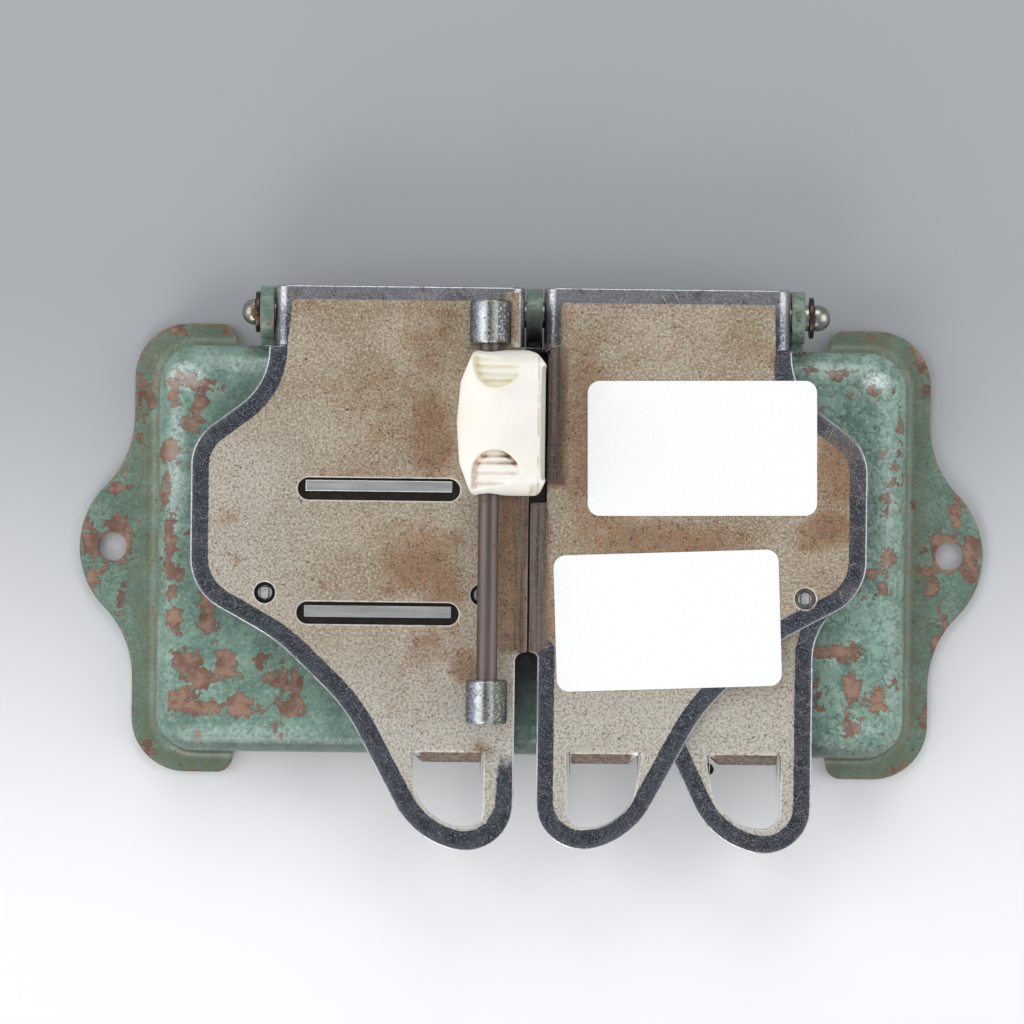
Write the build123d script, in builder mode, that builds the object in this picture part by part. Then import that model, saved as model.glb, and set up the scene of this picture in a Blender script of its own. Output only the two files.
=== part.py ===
from build123d import *
import os
from math import atan2, cos, degrees, radians, sin, sqrt

# Cement splicer for 8 and 16 mm film: a pressed base, a fixed and a hinged bed plate, two hinged clamp plates
# on one rod, and a sliding scraper. Millimetres, +Z up, Z = 0 under the base, the hinge towards +Y. The origin
# lies midway between the two screw holes.

os.makedirs("parts", exist_ok=True)

# ---- film and heights
film_width = 16.0
perforation_pitch = 7.62
sheet = 1.2                              # base pressing
pan_top = 9.0
spacer_height = 0.8
bed_thickness = 2.0
clamp_gap = 0.2                          # room for the film between bed and clamp plate
clamp_thickness = 1.3
bed_bottom = pan_top + spacer_height
bed_top = bed_bottom + bed_thickness
clamp_bottom = bed_top + clamp_gap
clamp_top = clamp_bottom + clamp_thickness

# ---- hinge
hinge_y, hinge_z = 33.6, 8.5
rod_radius = 1.85
running_gap = 0.05                       # radial, rod in a lug
lug_hole = rod_radius + running_gap
lug_radius = 3.7
lug_front_y = 28.7                       # the clamp plates' bent lugs run from here to the back edge
plate_back_y = hinge_y + lug_radius
bend_radius = 2.0

# ---- base
screw_x, screw_hole_radius = 60.0, 2.05
ear_tip_x, ear_tip_radius, ear_neck_radius = 64.7, 12.3, 14.2
flange_x, flange_y, flange_corner = 57.0, 32.1, 7.8
tab_end_x, tab_corner, tab_fillet = 42.5, 2.2, 1.0
pan_x, pan_y, pan_corner = 53.2, 28.9, 5.5
pan_top_fillet, pan_foot_fillet = 3.5, 1.6

# ---- seam, pins, guides and loops
seam_x, seam_gap = -0.36, 0.2            # the clamp plates meet here
overlap_x = 1.9                          # the fixed bed reaches past the seam by the width of the lap
shear_gap = 0.3                          # fixed bed to hinged bed
pin_x, pin_y = -37.54, -6.14
film_y, film_play = 0.2, 0.05            # middle of the film's path, and its room to each guide
guide_x, guide_length, guide_width, guide_height = -21.6, 20.7, 1.6, 1.2
guide_y = film_width / 2 + film_play + guide_width / 2
slot_length, slot_width = 22.9, 3.15
slot_y = (8.6, -8.9)
loop_shift = 41.9                        # left clamp plate's loop to the hinged bed's loop

# ---- scraper
scraper_x, scraper_z, scraper_rod_radius = -6.1, 16.0, 1.45
rock = radians(14.0)                     # the handle stands lifted by this angle from its working place
carrier_radius = 2.2
handle_front_y, handle_back_y = 7.9, 28.3
notch_front_y, notch_x = 7.0, 2.05       # relief beside the handle in the right clamp plate
notch_sweep = sqrt((hinge_y - notch_front_y) ** 2 + (clamp_bottom - hinge_z) ** 2)


def outline(corners):
    """Edges of a closed outline through (x, y, corner radius)."""
    with BuildLine() as line:
        FilletPolyline([(x, y) for x, y, _ in corners], radius=[r for _, _, r in corners], close=True)
    return line.edges()


def mirrored(places):
    """The same places on the other side of the seam."""
    return [(2 * seam_x - x, y) for x, y in places]


def shifted(corners, dx):
    """The same outline moved along X."""
    return [(x + dx, y, r) for x, y, r in corners]


def lug(x, thickness, radius, front, back, bottom, top):
    """A hinge lug from x on: the hull of an eye round the rod and a rectangle in Y and Z, with its rod hole."""
    with BuildSketch(Plane.YZ.offset(x)) as profile:
        with Locations((hinge_y, hinge_z)):
            Circle(radius)
        with Locations(((front + back) / 2, (bottom + top) / 2)):
            Rectangle(back - front, top - bottom)
        make_hull()
        with Locations((hinge_y, hinge_z)):
            Circle(lug_hole, mode=Mode.SUBTRACT)
    extrude(profile.sketch, amount=thickness)


def rivet(place, shank, length, head, head_height, tail, tail_height=0.7, sunk=False):
    """A turned rivet: the head sits on the plane, or is sunk in it, and the shank runs down to a formed tail."""
    section = Plane(origin=place.origin, x_dir=place.x_dir, z_dir=place.x_dir.cross(place.z_dir))
    with BuildSketch(section) as half:
        with BuildLine():
            if sunk:
                Polyline((0, 0), (head, 0), (shank, -head_height), (shank, -length))
                crown = 0
            else:
                ThreePointArc((0, head_height), (0.72 * head, 0.62 * head_height), (head, 0))
                Polyline((head, 0), (shank, 0), (shank, -length))
                crown = head_height
            foot = -length - tail_height
            Polyline((shank, -length), (tail, -length), (0.75 * tail, foot), (0, foot), (0, crown))
        make_face()
    revolve(half.sketch, axis=Axis(place.origin, place.z_dir))


def lip(x0, x1, top, thickness, bevel_at):
    """The bent edge at the back of a finger loop from x0 to x1, its end beside the flank bevelled."""
    slope, length, skin = radians(62), 3.3, 1.1
    back = loop_back_y + 1.1
    end_y, end_z = loop_back_y - length * cos(slope), top - length * sin(slope)
    under_y, under_z = end_y + skin * sin(slope), end_z - skin * cos(slope)
    root_y = under_y + (top - thickness - under_z) * cos(slope) / sin(slope)
    corners = [
        (back, top, 0), (loop_back_y, top, 1.0), (end_y, end_z, 0), (under_y, under_z, 0),
        (root_y, top - thickness, 0.6), (back, top - thickness, 0),
    ]
    with BuildSketch(Plane.YZ.offset(x0)) as profile:
        make_face(outline(corners))
    bent = extrude(profile.sketch, amount=x1 - x0, mode=Mode.PRIVATE)
    inward = 1 if bevel_at == x0 else -1
    with BuildSketch() as bevel:
        Polygon((bevel_at, loop_back_y - 0.2), (bevel_at, end_y - 0.1), (bevel_at + 1.5 * inward, end_y - 0.1),
                align=None)
    add(bent - extrude(bevel.sketch, amount=2 * top, mode=Mode.PRIVATE))


def pins_of(first):
    """Places of a plate's two registration pins, four perforations apart."""
    return [(pin_x + n * perforation_pitch, pin_y) for n in (first, first + 4)]


# ================================================================ base
ear_centre_x = ear_tip_x - ear_tip_radius
neck_centre_x = flange_x + ear_neck_radius
neck_y = sqrt((ear_tip_radius + ear_neck_radius) ** 2 - (neck_centre_x - ear_centre_x) ** 2)
ear_angle = degrees(atan2(neck_y, neck_centre_x - ear_centre_x))

strip_thickness, strip_bottom, strip_top = 1.5, 0.8, 5.4
bracket_lugs = [(-38.7, 2.0), (-1.1, 2.3), (36.4, 1.9)]          # left face and thickness
bracket_rivets = [(x, 3.2) for x in (-27.0, -14.0, 14.0, 27.0)]  # x and z
bracket_rivet_shank = 1.0
arm_bottom, arm_top, slot_play = 1.0, 7.0, 0.15
bed_rivets = [(-40.3, 11.0), (-41.3, -2.4), (-8.5, 20.5), (-23.0, -15.9), (-8.5, -15.9)]
bed_rivet_shank, bed_rivet_head, bed_rivet_sink = 1.1, 2.2, 1.1
rest_pads = [(9.0, 19.0), (30.0, 19.0), (28.0, -21.0), (9.0, -2.0)]
pad_radius, pad_height, pad_shank = 2.5, 0.65, 1.0
hole_play = 0.02                                                 # radial, riveted pieces

# Pressed tray: a flange with an eared screw hole at each end, and a raised hollow pan that is open below. The
# flange stops at the hinge and at the finger loops, where the walls run straight down.
with BuildPart() as base_pan:
    Box(2 * ear_tip_x, 2 * flange_y + 2, sheet, align=(Align.CENTER, Align.CENTER, Align.MIN))
    with BuildSketch():
        RectangleRounded(2 * pan_x, 2 * pan_y, pan_corner)
    extrude(amount=pan_top)
    fillet(base_pan.faces().sort_by(Axis.Z)[-1].edges(), pan_top_fillet)
    flange = base_pan.faces().filter_by(Axis.Z).filter_by(lambda f: abs(f.center().Z - sheet) < 0.01)[0]
    fillet(flange.inner_wires()[0].edges(), pan_foot_fillet)
    with BuildSketch():
        with BuildLine():
            CenterArc((ear_centre_x, 0), ear_tip_radius, 0, ear_angle)
            CenterArc((neck_centre_x, neck_y), ear_neck_radius, 180, ear_angle)
            FilletPolyline(
                (flange_x, neck_y), (flange_x, flange_y), (tab_end_x, flange_y), (tab_end_x, pan_y), (0, pan_y),
                radius=[flange_corner, tab_corner, tab_fillet],
            )
            Polyline((0, pan_y), (0, 0), (ear_tip_x, 0))
        make_face()
        mirror(about=Plane.YZ)
        mirror(about=Plane.XZ)
    extrude(amount=pan_top, mode=Mode.INTERSECT)
    with BuildSketch():
        RectangleRounded(2 * (pan_x - sheet), 2 * (pan_y - sheet), pan_corner - sheet)
    inner = extrude(amount=pan_top - sheet, mode=Mode.PRIVATE)
    inner = inner.fillet(pan_top_fillet - sheet, inner.faces().sort_by(Axis.Z)[-1].edges())
    add(inner, mode=Mode.SUBTRACT)
    with Locations((-screw_x, 0, sheet), (screw_x, 0, sheet)):
        Hole(screw_hole_radius, depth=sheet)
    with Locations(*[(x, y, pan_top) for x, y in bed_rivets]):
        Hole(bed_rivet_shank + hole_play, depth=2 * sheet)
    with Locations(*[(x, y, pan_top) for x, y in rest_pads]):
        Hole(pad_shank + hole_play, depth=2 * sheet)
    with BuildSketch(Plane.XZ.offset(-pan_y - 1)):
        with Locations(*bracket_rivets):
            Circle(bracket_rivet_shank + hole_play)
        for x, thickness in bracket_lugs:
            with Locations((x + thickness / 2, 0)):
                Rectangle(thickness + 2 * slot_play, 2 * (arm_top + slot_play))
    extrude(amount=1 + 2 * sheet, mode=Mode.SUBTRACT)
base_pan.part.label = "base_pan"

# Hinge bracket: a strip inside the pan's back wall; its three lugs pass out through slots and carry the rod
strip_y = pan_y - sheet - strip_thickness
with BuildPart() as hinge_bracket:
    strip_x0, strip_x1 = bracket_lugs[0][0], bracket_lugs[-1][0] + bracket_lugs[-1][1]
    with BuildSketch(Plane.XZ.offset(-strip_y)):
        with Locations(((strip_x0 + strip_x1) / 2, (strip_bottom + strip_top) / 2)):
            Rectangle(strip_x1 - strip_x0, strip_top - strip_bottom)
        with Locations(*bracket_rivets):
            Circle(bracket_rivet_shank + hole_play, mode=Mode.SUBTRACT)
    extrude(amount=-strip_thickness)
    for x, thickness in bracket_lugs:
        with BuildSketch(Plane.YZ.offset(x)):
            with Locations((hinge_y, hinge_z)):
                Circle(lug_radius)
            Polygon((strip_y, arm_bottom), (pan_y + 0.6, arm_bottom), (hinge_y, hinge_z - lug_radius),
                    (hinge_y, arm_top), (strip_y, arm_top), align=None)
            with Locations((hinge_y, hinge_z)):
                Circle(lug_hole, mode=Mode.SUBTRACT)
        extrude(amount=thickness)
hinge_bracket.part.label = "hinge_bracket"

with BuildPart() as hinge_bracket_rivets:
    for x, z in bracket_rivets:
        seat = Plane(origin=(x, pan_y, z), x_dir=(1, 0, 0), z_dir=(0, 1, 0))
        rivet(seat, bracket_rivet_shank, sheet + strip_thickness, 1.9, 0.85, 1.6)
hinge_bracket_rivets.part.label = "hinge_bracket_rivets"

# Hinge rod: domed ends, and a groove for a clip outside each outer lug
rod_left, rod_right, rod_dome = -41.4, 42.0, 1.8
clip_thickness, clip_radius, groove_radius, groove_play = 0.6, 2.9, 1.4, 0.05
clip_left, clip_right = -39.4, 39.0                              # left face of each clip
with BuildPart() as hinge_rod:
    with BuildSketch(Plane.YZ.offset(rod_left)):
        with Locations((hinge_y, hinge_z)):
            Circle(rod_radius)
    extrude(amount=rod_right - rod_left)
    fillet(hinge_rod.edges().filter_by(GeomType.CIRCLE), rod_dome)
    for x in (clip_left, clip_right):
        with BuildSketch(Plane.YZ.offset(x - groove_play)):
            with Locations((hinge_y, hinge_z)):
                Circle(rod_radius + 1)
                Circle(groove_radius, mode=Mode.SUBTRACT)
        extrude(amount=clip_thickness + 2 * groove_play, mode=Mode.SUBTRACT)
hinge_rod.part.label = "hinge_rod"


def clip(x):
    """An open spring clip in the rod's groove, its left face at x."""
    with BuildSketch(Plane.YZ.offset(x)) as ring:
        with Locations((hinge_y, hinge_z)):
            Circle(clip_radius)
            Circle(groove_radius + hole_play, mode=Mode.SUBTRACT)
            Rectangle(1.8, clip_radius + 1, align=(Align.CENTER, Align.MAX), mode=Mode.SUBTRACT)
            with PolarLocations(groove_radius + 0.75, 3, start_angle=90):
                Circle(0.32, mode=Mode.SUBTRACT)
    extrude(ring.sketch, amount=clip_thickness)


with BuildPart() as retaining_clip_left:
    clip(clip_left)
retaining_clip_left.part.label = "retaining_clip_left"

with BuildPart() as retaining_clip_right:
    clip(clip_right)
retaining_clip_right.part.label = "retaining_clip_right"

# Rest pads: buttons riveted in the pan's top for the hinged bed to come down on
with BuildPart() as rest_pads_right:
    for x, y in rest_pads:
        rivet(Plane((x, y, pan_top)), pad_shank, sheet, pad_radius, pad_height, 1.6)
rest_pads_right.part.label = "rest_pads_right"

# ================================================================ beds, guides and pins
guide_tenon, guide_tenon_x = 0.7, 7.5
pin_shank, pin_length, pin_width, pin_height = 1.0, 1.8, 1.3, 1.2
loop_back_y, lip_end_gap = -28.4, 0.45
loop_left = [
    (-6.4, loop_back_y, 0), (-16.9, loop_back_y, 0), (-15.7, -35.5, 6), (-11.6, -38.7, 6), (-6.4, -38.9, 2.4),
]
left_guide_places = [(guide_x, film_y + guide_y), (guide_x, film_y - guide_y)]
right_guide_places = mirrored(left_guide_places)


def bed_holes(guides, pins):
    """Tenon holes of the guide bars and shank holes of the pins."""
    with Locations(*[(x + side * guide_tenon_x, y, bed_top) for x, y in guides for side in (-1, 1)]):
        Hole(guide_tenon + hole_play, depth=bed_thickness)
    with Locations(*[(x, y, bed_top) for x, y in pins]):
        Hole(pin_shank + hole_play, depth=bed_thickness)


def guide_bar(x, y):
    """A film guide: a bar on the bed with two riveted tenons."""
    with Locations((x, y, bed_top)):
        Box(guide_length, guide_width, guide_height, align=(Align.CENTER, Align.CENTER, Align.MIN))
    with BuildSketch(Plane.XY.offset(bed_bottom)) as tenons:
        with Locations((x - guide_tenon_x, y), (x + guide_tenon_x, y)):
            Circle(guide_tenon)
    extrude(tenons.sketch, amount=bed_thickness)


def film_pin(x, y):
    """A registration pin: a round shank in the bed and a tooth of the perforation's shape above it."""
    with BuildSketch(Plane.XY.offset(bed_bottom)) as shank:
        with Locations((x, y)):
            Circle(pin_shank)
    extrude(shank.sketch, amount=bed_thickness)
    for z, taper in ((bed_top, 0), (bed_top + pin_height - 0.3, 25)):
        with BuildSketch(Plane.XY.offset(z)) as tooth:
            with Locations((x, y)):
                RectangleRounded(pin_width, pin_length, 0.35)
        extrude(tooth.sketch, amount=0.3 if taper else pin_height - 0.3, taper=taper)


# Fixed bed under the left clamp plate. It reaches past the seam, where the two films lap.
with BuildPart() as left_lower_plate:
    bed_left = [
        (overlap_x, -13.3, 0.5), (-3.6, -13.3, 1), (-3.6, -19.4, 1.5), (-25.6, -19.4, 3), (-34.0, -13.3, 5),
        (-45.0, -5.6, 5), (-45.0, 14.0, 4), (-35.2, 21.6, 4), (-35.2, 26.0, 1), (overlap_x, 26.0, 1),
    ]
    with BuildSketch(Plane.XY.offset(bed_bottom)):
        make_face(outline(bed_left))
    extrude(amount=bed_thickness)
    bed_holes(left_guide_places, pins_of(0))
    with Locations(*[(x, y, bed_top) for x, y in bed_rivets]):
        CounterSinkHole(bed_rivet_shank + hole_play, bed_rivet_head + hole_play, depth=bed_thickness,
                        counter_sink_angle=90)
left_lower_plate.part.label = "left_lower_plate"

with BuildPart() as left_plate_spacers:
    with BuildSketch(Plane.XY.offset(pan_top)):
        with Locations(*bed_rivets):
            Circle(3.0)
            Circle(bed_rivet_shank + hole_play, mode=Mode.SUBTRACT)
    extrude(amount=spacer_height)
left_plate_spacers.part.label = "left_plate_spacers"

with BuildPart() as left_plate_rivets:
    for x, y in bed_rivets:
        rivet(Plane((x, y, bed_top)), bed_rivet_shank, bed_top - pan_top + sheet, bed_rivet_head, bed_rivet_sink,
              1.9, sunk=True)
left_plate_rivets.part.label = "left_plate_rivets"

with BuildPart() as left_guide_bar_rear:
    guide_bar(*left_guide_places[0])
left_guide_bar_rear.part.label = "left_guide_bar_rear"

with BuildPart() as left_guide_bar_front:
    guide_bar(*left_guide_places[1])
left_guide_bar_front.part.label = "left_guide_bar_front"

with BuildPart() as left_film_pins:
    for x, y in pins_of(0):
        film_pin(x, y)
left_film_pins.part.label = "left_film_pins"

# Hinged bed under the right clamp plate, with its own finger loop at the far right
stop_x, stop_y, stop_length, stop_width = 24.6, -30.5, 3.2, 1.6
stop_bottom, stop_shank_x, stop_shank, stop_seat = 7.2, 24.2, 0.6, 1.2
bed_lug_radius, bed_lug_thickness, bed_lugs = 3.2, 1.5, (3.2, 32.9)
bed_back_y, bed_lug_front_y = 31.2, 27.6
with BuildPart() as right_lower_plate:
    bed_x0 = overlap_x + shear_gap
    bed_x1 = bed_lugs[1] + bed_lug_thickness
    bed_right = [
        (bed_lugs[0], bed_back_y, 0), (bed_x1, bed_back_y, 0), (bed_x1, 22.4, 4), (44.4, 14.6, 4),
        (44.4, -6.55, 3), (39.9, -10.5, 9.3), (39.9, -44.2, 6.7), (25.7, -40.55, 12), (18.5, -25.15, 18),
        (6.2, -13.3, 3), (bed_x0, -13.3, 0.5), (bed_x0, 14.0, 0), (bed_lugs[0], 14.0, 0),
    ]
    bed_loop = shifted(loop_left, loop_shift)
    lip_x0, lip_x1 = bed_loop[1][0] + lip_end_gap, bed_loop[0][0] - lip_end_gap
    with BuildSketch(Plane.XY.offset(bed_bottom)):
        make_face(outline(bed_right))
        make_face(outline(bed_loop), mode=Mode.SUBTRACT)
        with Locations(((lip_x0 + lip_x1) / 2, loop_back_y + 0.5)):
            Rectangle(lip_x1 - lip_x0, 1.2, mode=Mode.SUBTRACT)
    extrude(amount=bed_thickness)
    lip(lip_x0, lip_x1, bed_top, bed_thickness, lip_x0)
    for x in bed_lugs:
        lug(x, bed_lug_thickness, bed_lug_radius, bed_lug_front_y, bed_back_y, bed_bottom, bed_top)
    bed_holes(right_guide_places, pins_of(6))
    with BuildSketch(Plane.XY.offset(bed_bottom)):
        with Locations((stop_shank_x, stop_y)):
            Circle(stop_shank + hole_play)
    extrude(amount=stop_seat, mode=Mode.SUBTRACT)
right_lower_plate.part.label = "right_lower_plate"

with BuildPart() as lower_plate_stop:
    with BuildSketch(Plane.XY.offset(stop_bottom)):
        with Locations((stop_x, stop_y)):
            SlotOverall(stop_length, stop_width)
    extrude(amount=bed_bottom - stop_bottom)
    chamfer(lower_plate_stop.faces().sort_by(Axis.Z)[0].edges(), 0.3)
    with BuildSketch(Plane.XY.offset(bed_bottom)):
        with Locations((stop_shank_x, stop_y)):
            Circle(stop_shank)
    extrude(amount=stop_seat)
lower_plate_stop.part.label = "lower_plate_stop"

with BuildPart() as right_guide_bar_rear:
    guide_bar(*right_guide_places[0])
right_guide_bar_rear.part.label = "right_guide_bar_rear"

with BuildPart() as right_guide_bar_front:
    guide_bar(*right_guide_places[1])
right_guide_bar_front.part.label = "right_guide_bar_front"

with BuildPart() as right_film_pins:
    for x, y in pins_of(6):
        film_pin(x, y)
right_film_pins.part.label = "right_film_pins"

# ================================================================ clamp plates
pin_window = 1.5                                                 # radius of the hole over a pin
left_seam_edge = seam_x - seam_gap / 2
right_seam_edge = seam_x + seam_gap / 2
left_lugs, right_lugs = (-36.5, -1.31), (1.44, 36.15)            # outer faces, left to right
loop_right = [
    (5.35, loop_back_y, 0), (15.85, loop_back_y, 0), (14.65, -35.5, 6), (10.55, -38.7, 6), (5.35, -38.9, 2.4),
]
flank_left = [
    (-37.3, 23.3, 10), (-48.1, 15.3, 7), (-48.1, -6.0, 8), (-35.75, -12.85, 25), (-26.05, -22.25, 25),
    (-16.2, -40.65, 12.5), (-2.15, -44.2, 6.9), (-2.15, -14.15, 1.3), (left_seam_edge, -14.15, 0.3),
]
flank_right = [
    (36.4, 23.1, 10), (47.25, 15.0, 7), (47.25, -5.6, 8), (34.05, -12.65, 25), (24.3, -22.35, 25),
    (14.7, -40.25, 12.5), (1.0, -43.8, 6.6), (1.0, -14.15, 0.9), (right_seam_edge, -14.15, 0.3),
]
bracket_length = 6.1
rod_brackets = [32.25, -21.05]                                   # centre of the rear and the front one
bracket_spigot = 1.1


def clamp_plate(corners, loop, slots_x, pins, lug_faces, bevel_side):
    """A clamp plate: flat outline with slots, pin windows and finger loop, lip and two bent hinge lugs."""
    lip_x0 = min(loop[0][0], loop[1][0]) + lip_end_gap
    lip_x1 = max(loop[0][0], loop[1][0]) - lip_end_gap
    with BuildSketch(Plane.XY.offset(clamp_bottom)) as flat:
        make_face(outline(corners))
        make_face(outline(loop), mode=Mode.SUBTRACT)
        with Locations(((lip_x0 + lip_x1) / 2, loop_back_y + 0.5)):
            Rectangle(lip_x1 - lip_x0, 1.2, mode=Mode.SUBTRACT)
        with Locations(*[(slots_x, y) for y in slot_y]):
            SlotOverall(slot_length, slot_width, mode=Mode.SUBTRACT)
        with Locations(*pins):
            Circle(pin_window, mode=Mode.SUBTRACT)
    extrude(flat.sketch, amount=clamp_thickness)
    lip(lip_x0, lip_x1, clamp_top, clamp_thickness, lip_x0 if bevel_side < 0 else lip_x1)
    lug(lug_faces[0], clamp_thickness, lug_radius, lug_front_y, plate_back_y, clamp_bottom, clamp_top)
    lug(lug_faces[1] - clamp_thickness, clamp_thickness, lug_radius, lug_front_y, plate_back_y, clamp_bottom,
        clamp_top)


def round_bend(x, inward):
    """Takes the outer corner off the plate where it bends down into the lug whose outer face is at x."""
    middle = bend_radius * (1 - sqrt(0.5))
    with BuildSketch(Plane.XZ.offset(-plate_back_y)) as corner:
        with BuildLine():
            Polyline((x, clamp_top - bend_radius), (x, clamp_top), (x + inward * bend_radius, clamp_top))
            ThreePointArc((x + inward * bend_radius, clamp_top), (x + inward * middle, clamp_top - middle),
                          (x, clamp_top - bend_radius))
        make_face()
    extrude(corner.sketch, amount=plate_back_y - lug_front_y, mode=Mode.SUBTRACT)


with BuildPart() as left_upper_plate:
    corners = [(left_lugs[0], plate_back_y, 0), (left_lugs[0], lug_front_y, 0), (-37.3, lug_front_y, 0)]
    corners += flank_left
    corners += [(left_seam_edge, 27.0, 0), (left_lugs[1] + 0.1, 27.0, 0), (left_lugs[1] + 0.1, lug_front_y, 0),
                (left_lugs[1], lug_front_y, 0), (left_lugs[1], plate_back_y, 0)]
    clamp_plate(corners, loop_left, guide_x, pins_of(0), left_lugs, -1)
    round_bend(left_lugs[0], 1)
    round_bend(left_lugs[1], -1)
    with Locations(*[(scraper_x, y, clamp_top) for y in rod_brackets]):
        Hole(bracket_spigot + hole_play, depth=clamp_thickness)
left_upper_plate.part.label = "left_upper_plate"

with BuildPart() as right_upper_plate:
    corners = [(right_lugs[1], plate_back_y, 0), (right_lugs[1], lug_front_y, 0), (36.4, lug_front_y, 0)]
    corners += flank_right
    corners += [(right_seam_edge, notch_front_y, 0.3), (notch_x, notch_front_y, 0.5), (notch_x, 28.2, 0),
                (right_lugs[0] + 0.1, 28.2, 0), (right_lugs[0] + 0.1, lug_front_y, 0),
                (right_lugs[0], lug_front_y, 0), (right_lugs[0], plate_back_y, 0)]
    clamp_plate(corners, loop_right, 2 * seam_x - guide_x, pins_of(6), right_lugs, 1)
    round_bend(right_lugs[0], 1)
    round_bend(right_lugs[1], -1)
right_upper_plate.part.label = "right_upper_plate"

# ================================================================ scraper
rod_front_y, rod_back_y = -23.3, 34.4
bracket_width, bracket_rim = 5.8, 0.45


def rod_bracket(y):
    """A saddle that holds an end of the scraper rod, riveted to the plate by a spigot under it."""
    half, drop = bracket_width / 2, clamp_top - scraper_z
    end = Plane(origin=(scraper_x, y + bracket_length / 2, scraper_z), x_dir=(1, 0, 0), z_dir=(0, -1, 0))
    with BuildSketch(end) as section:
        with BuildLine():
            CenterArc((0, 0), half, 0, 180)
            Polyline((-half, 0), (-half, drop), (half, drop), (half, 0))
        make_face()
    body = extrude(section.sketch, amount=bracket_length, mode=Mode.PRIVATE)
    rims = [e for f in body.faces().filter_by(Axis.Y) for e in f.edges() if e.center().Z > clamp_top + 0.1]
    add(body.fillet(bracket_rim, rims))
    with BuildSketch(Plane.XY.offset(clamp_bottom)) as spigot:
        with Locations((scraper_x, y)):
            Circle(bracket_spigot)
    extrude(spigot.sketch, amount=clamp_thickness)
    with BuildSketch(Plane.XZ.offset(-rod_back_y)) as bore:
        with Locations((scraper_x, scraper_z)):
            Circle(scraper_rod_radius + hole_play)
    extrude(bore.sketch, amount=rod_back_y - rod_front_y, mode=Mode.SUBTRACT)


with BuildPart() as scraper_rod:
    with BuildSketch(Plane.XZ.offset(-rod_back_y)):
        with Locations((scraper_x, scraper_z)):
            Circle(scraper_rod_radius)
    extrude(amount=rod_back_y - rod_front_y)
scraper_rod.part.label = "scraper_rod"

with BuildPart() as rod_bracket_rear:
    rod_bracket(rod_brackets[0])
rod_bracket_rear.part.label = "rod_bracket_rear"

with BuildPart() as rod_bracket_front:
    rod_bracket(rod_brackets[1])
rod_bracket_front.part.label = "rod_bracket_front"

# Carrier: a steel tube on the rod with a keel that glides over the plate and keeps it upright
keel_half, keel_bottom, carrier_ends = 1.2, clamp_top + 0.2, (8.2, 28.0)
with BuildPart() as scraper_carrier:
    with BuildSketch(Plane.XZ.offset(-carrier_ends[1])):
        with Locations((scraper_x, scraper_z)):
            Circle(carrier_radius)
        with Locations((scraper_x, (keel_bottom + scraper_z) / 2)):
            Rectangle(2 * keel_half, scraper_z - keel_bottom)
        with Locations((scraper_x, scraper_z)):
            Circle(scraper_rod_radius + running_gap, mode=Mode.SUBTRACT)
    extrude(amount=carrier_ends[1] - carrier_ends[0])
scraper_carrier.part.label = "scraper_carrier"

# Leaf spring on the carrier's keel, which lifts the handle; it is drawn as the pressed handle holds it
spring_ends, spring_thickness = (25.4, 19.6), 0.3
with BuildPart() as carrier_leaf_spring:
    with BuildSketch(Plane(origin=(scraper_x, spring_ends[0], scraper_z), x_dir=(1, 0, 0), z_dir=(0, -1, 0))):
        with BuildLine() as leaf:
            FilletPolyline((keel_half, -2.25), (3.4, -2.25), (4.55, 2.05), radius=1.2)
        trace(leaf.line, line_width=spring_thickness)
    extrude(amount=spring_ends[0] - spring_ends[1])
carrier_leaf_spring.part.label = "carrier_leaf_spring"

# Handle: a crowned plastic cap with a ribbed finger recess at each end. It is hollow below, its end walls clip
# over the carrier, and a boss in its right wall holds the blade. It stands lifted; u and v turn with it.
end_wall = 1.5
bottom_v, ceiling_v = -2.4, 2.45
handle_left_u, handle_right_u, crown_right_u = -4.0, 7.45, 8.3
crown_left_v, crown_middle_v, crown_right_v, crown_round = 3.6, 5.3, 3.9, 1.2
flange_height, flange_ends = 0.5, (10.2, 26.0)                   # its two ends stand out at the right
cavity_u = (-2.6, 5.8)
saddle_radius, saddle_half = carrier_radius + running_gap, 1.95
top_front_y, top_back_y = 10.9, 25.3
handle_middle_y = (handle_front_y + handle_back_y) / 2
blade_y, blade_thickness, blade_play = 16.9, 0.8, 0.05           # y of its back face
boss_y, boss_length, boss_u = 18.4, 3.8, 4.0
blade_pin_at, blade_pin_radius = (5.1, -0.9), 0.45
blade_top_v, blade_tip_v, blade_tip_u = 1.2, -4.05, (5.85, 7.0)
front_grooves, rear_grooves = (9.6, 11.1, 12.5, 13.5), (27.0, 25.9, 24.7, 23.8)
recess_radius, recess_floor_v = 3.4, (3.5, 4.1)                  # floor at its open and its inner end
groove_width, groove_depth = 0.6, 0.35
sweep_play = 0.1                                                 # to the right clamp plate as it swings up


def handle_plane(y):
    """Section plane of the handle at y, facing the front."""
    return Plane(origin=(scraper_x, y, scraper_z), x_dir=(cos(rock), 0, sin(rock)), z_dir=(0, -1, 0))


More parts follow.
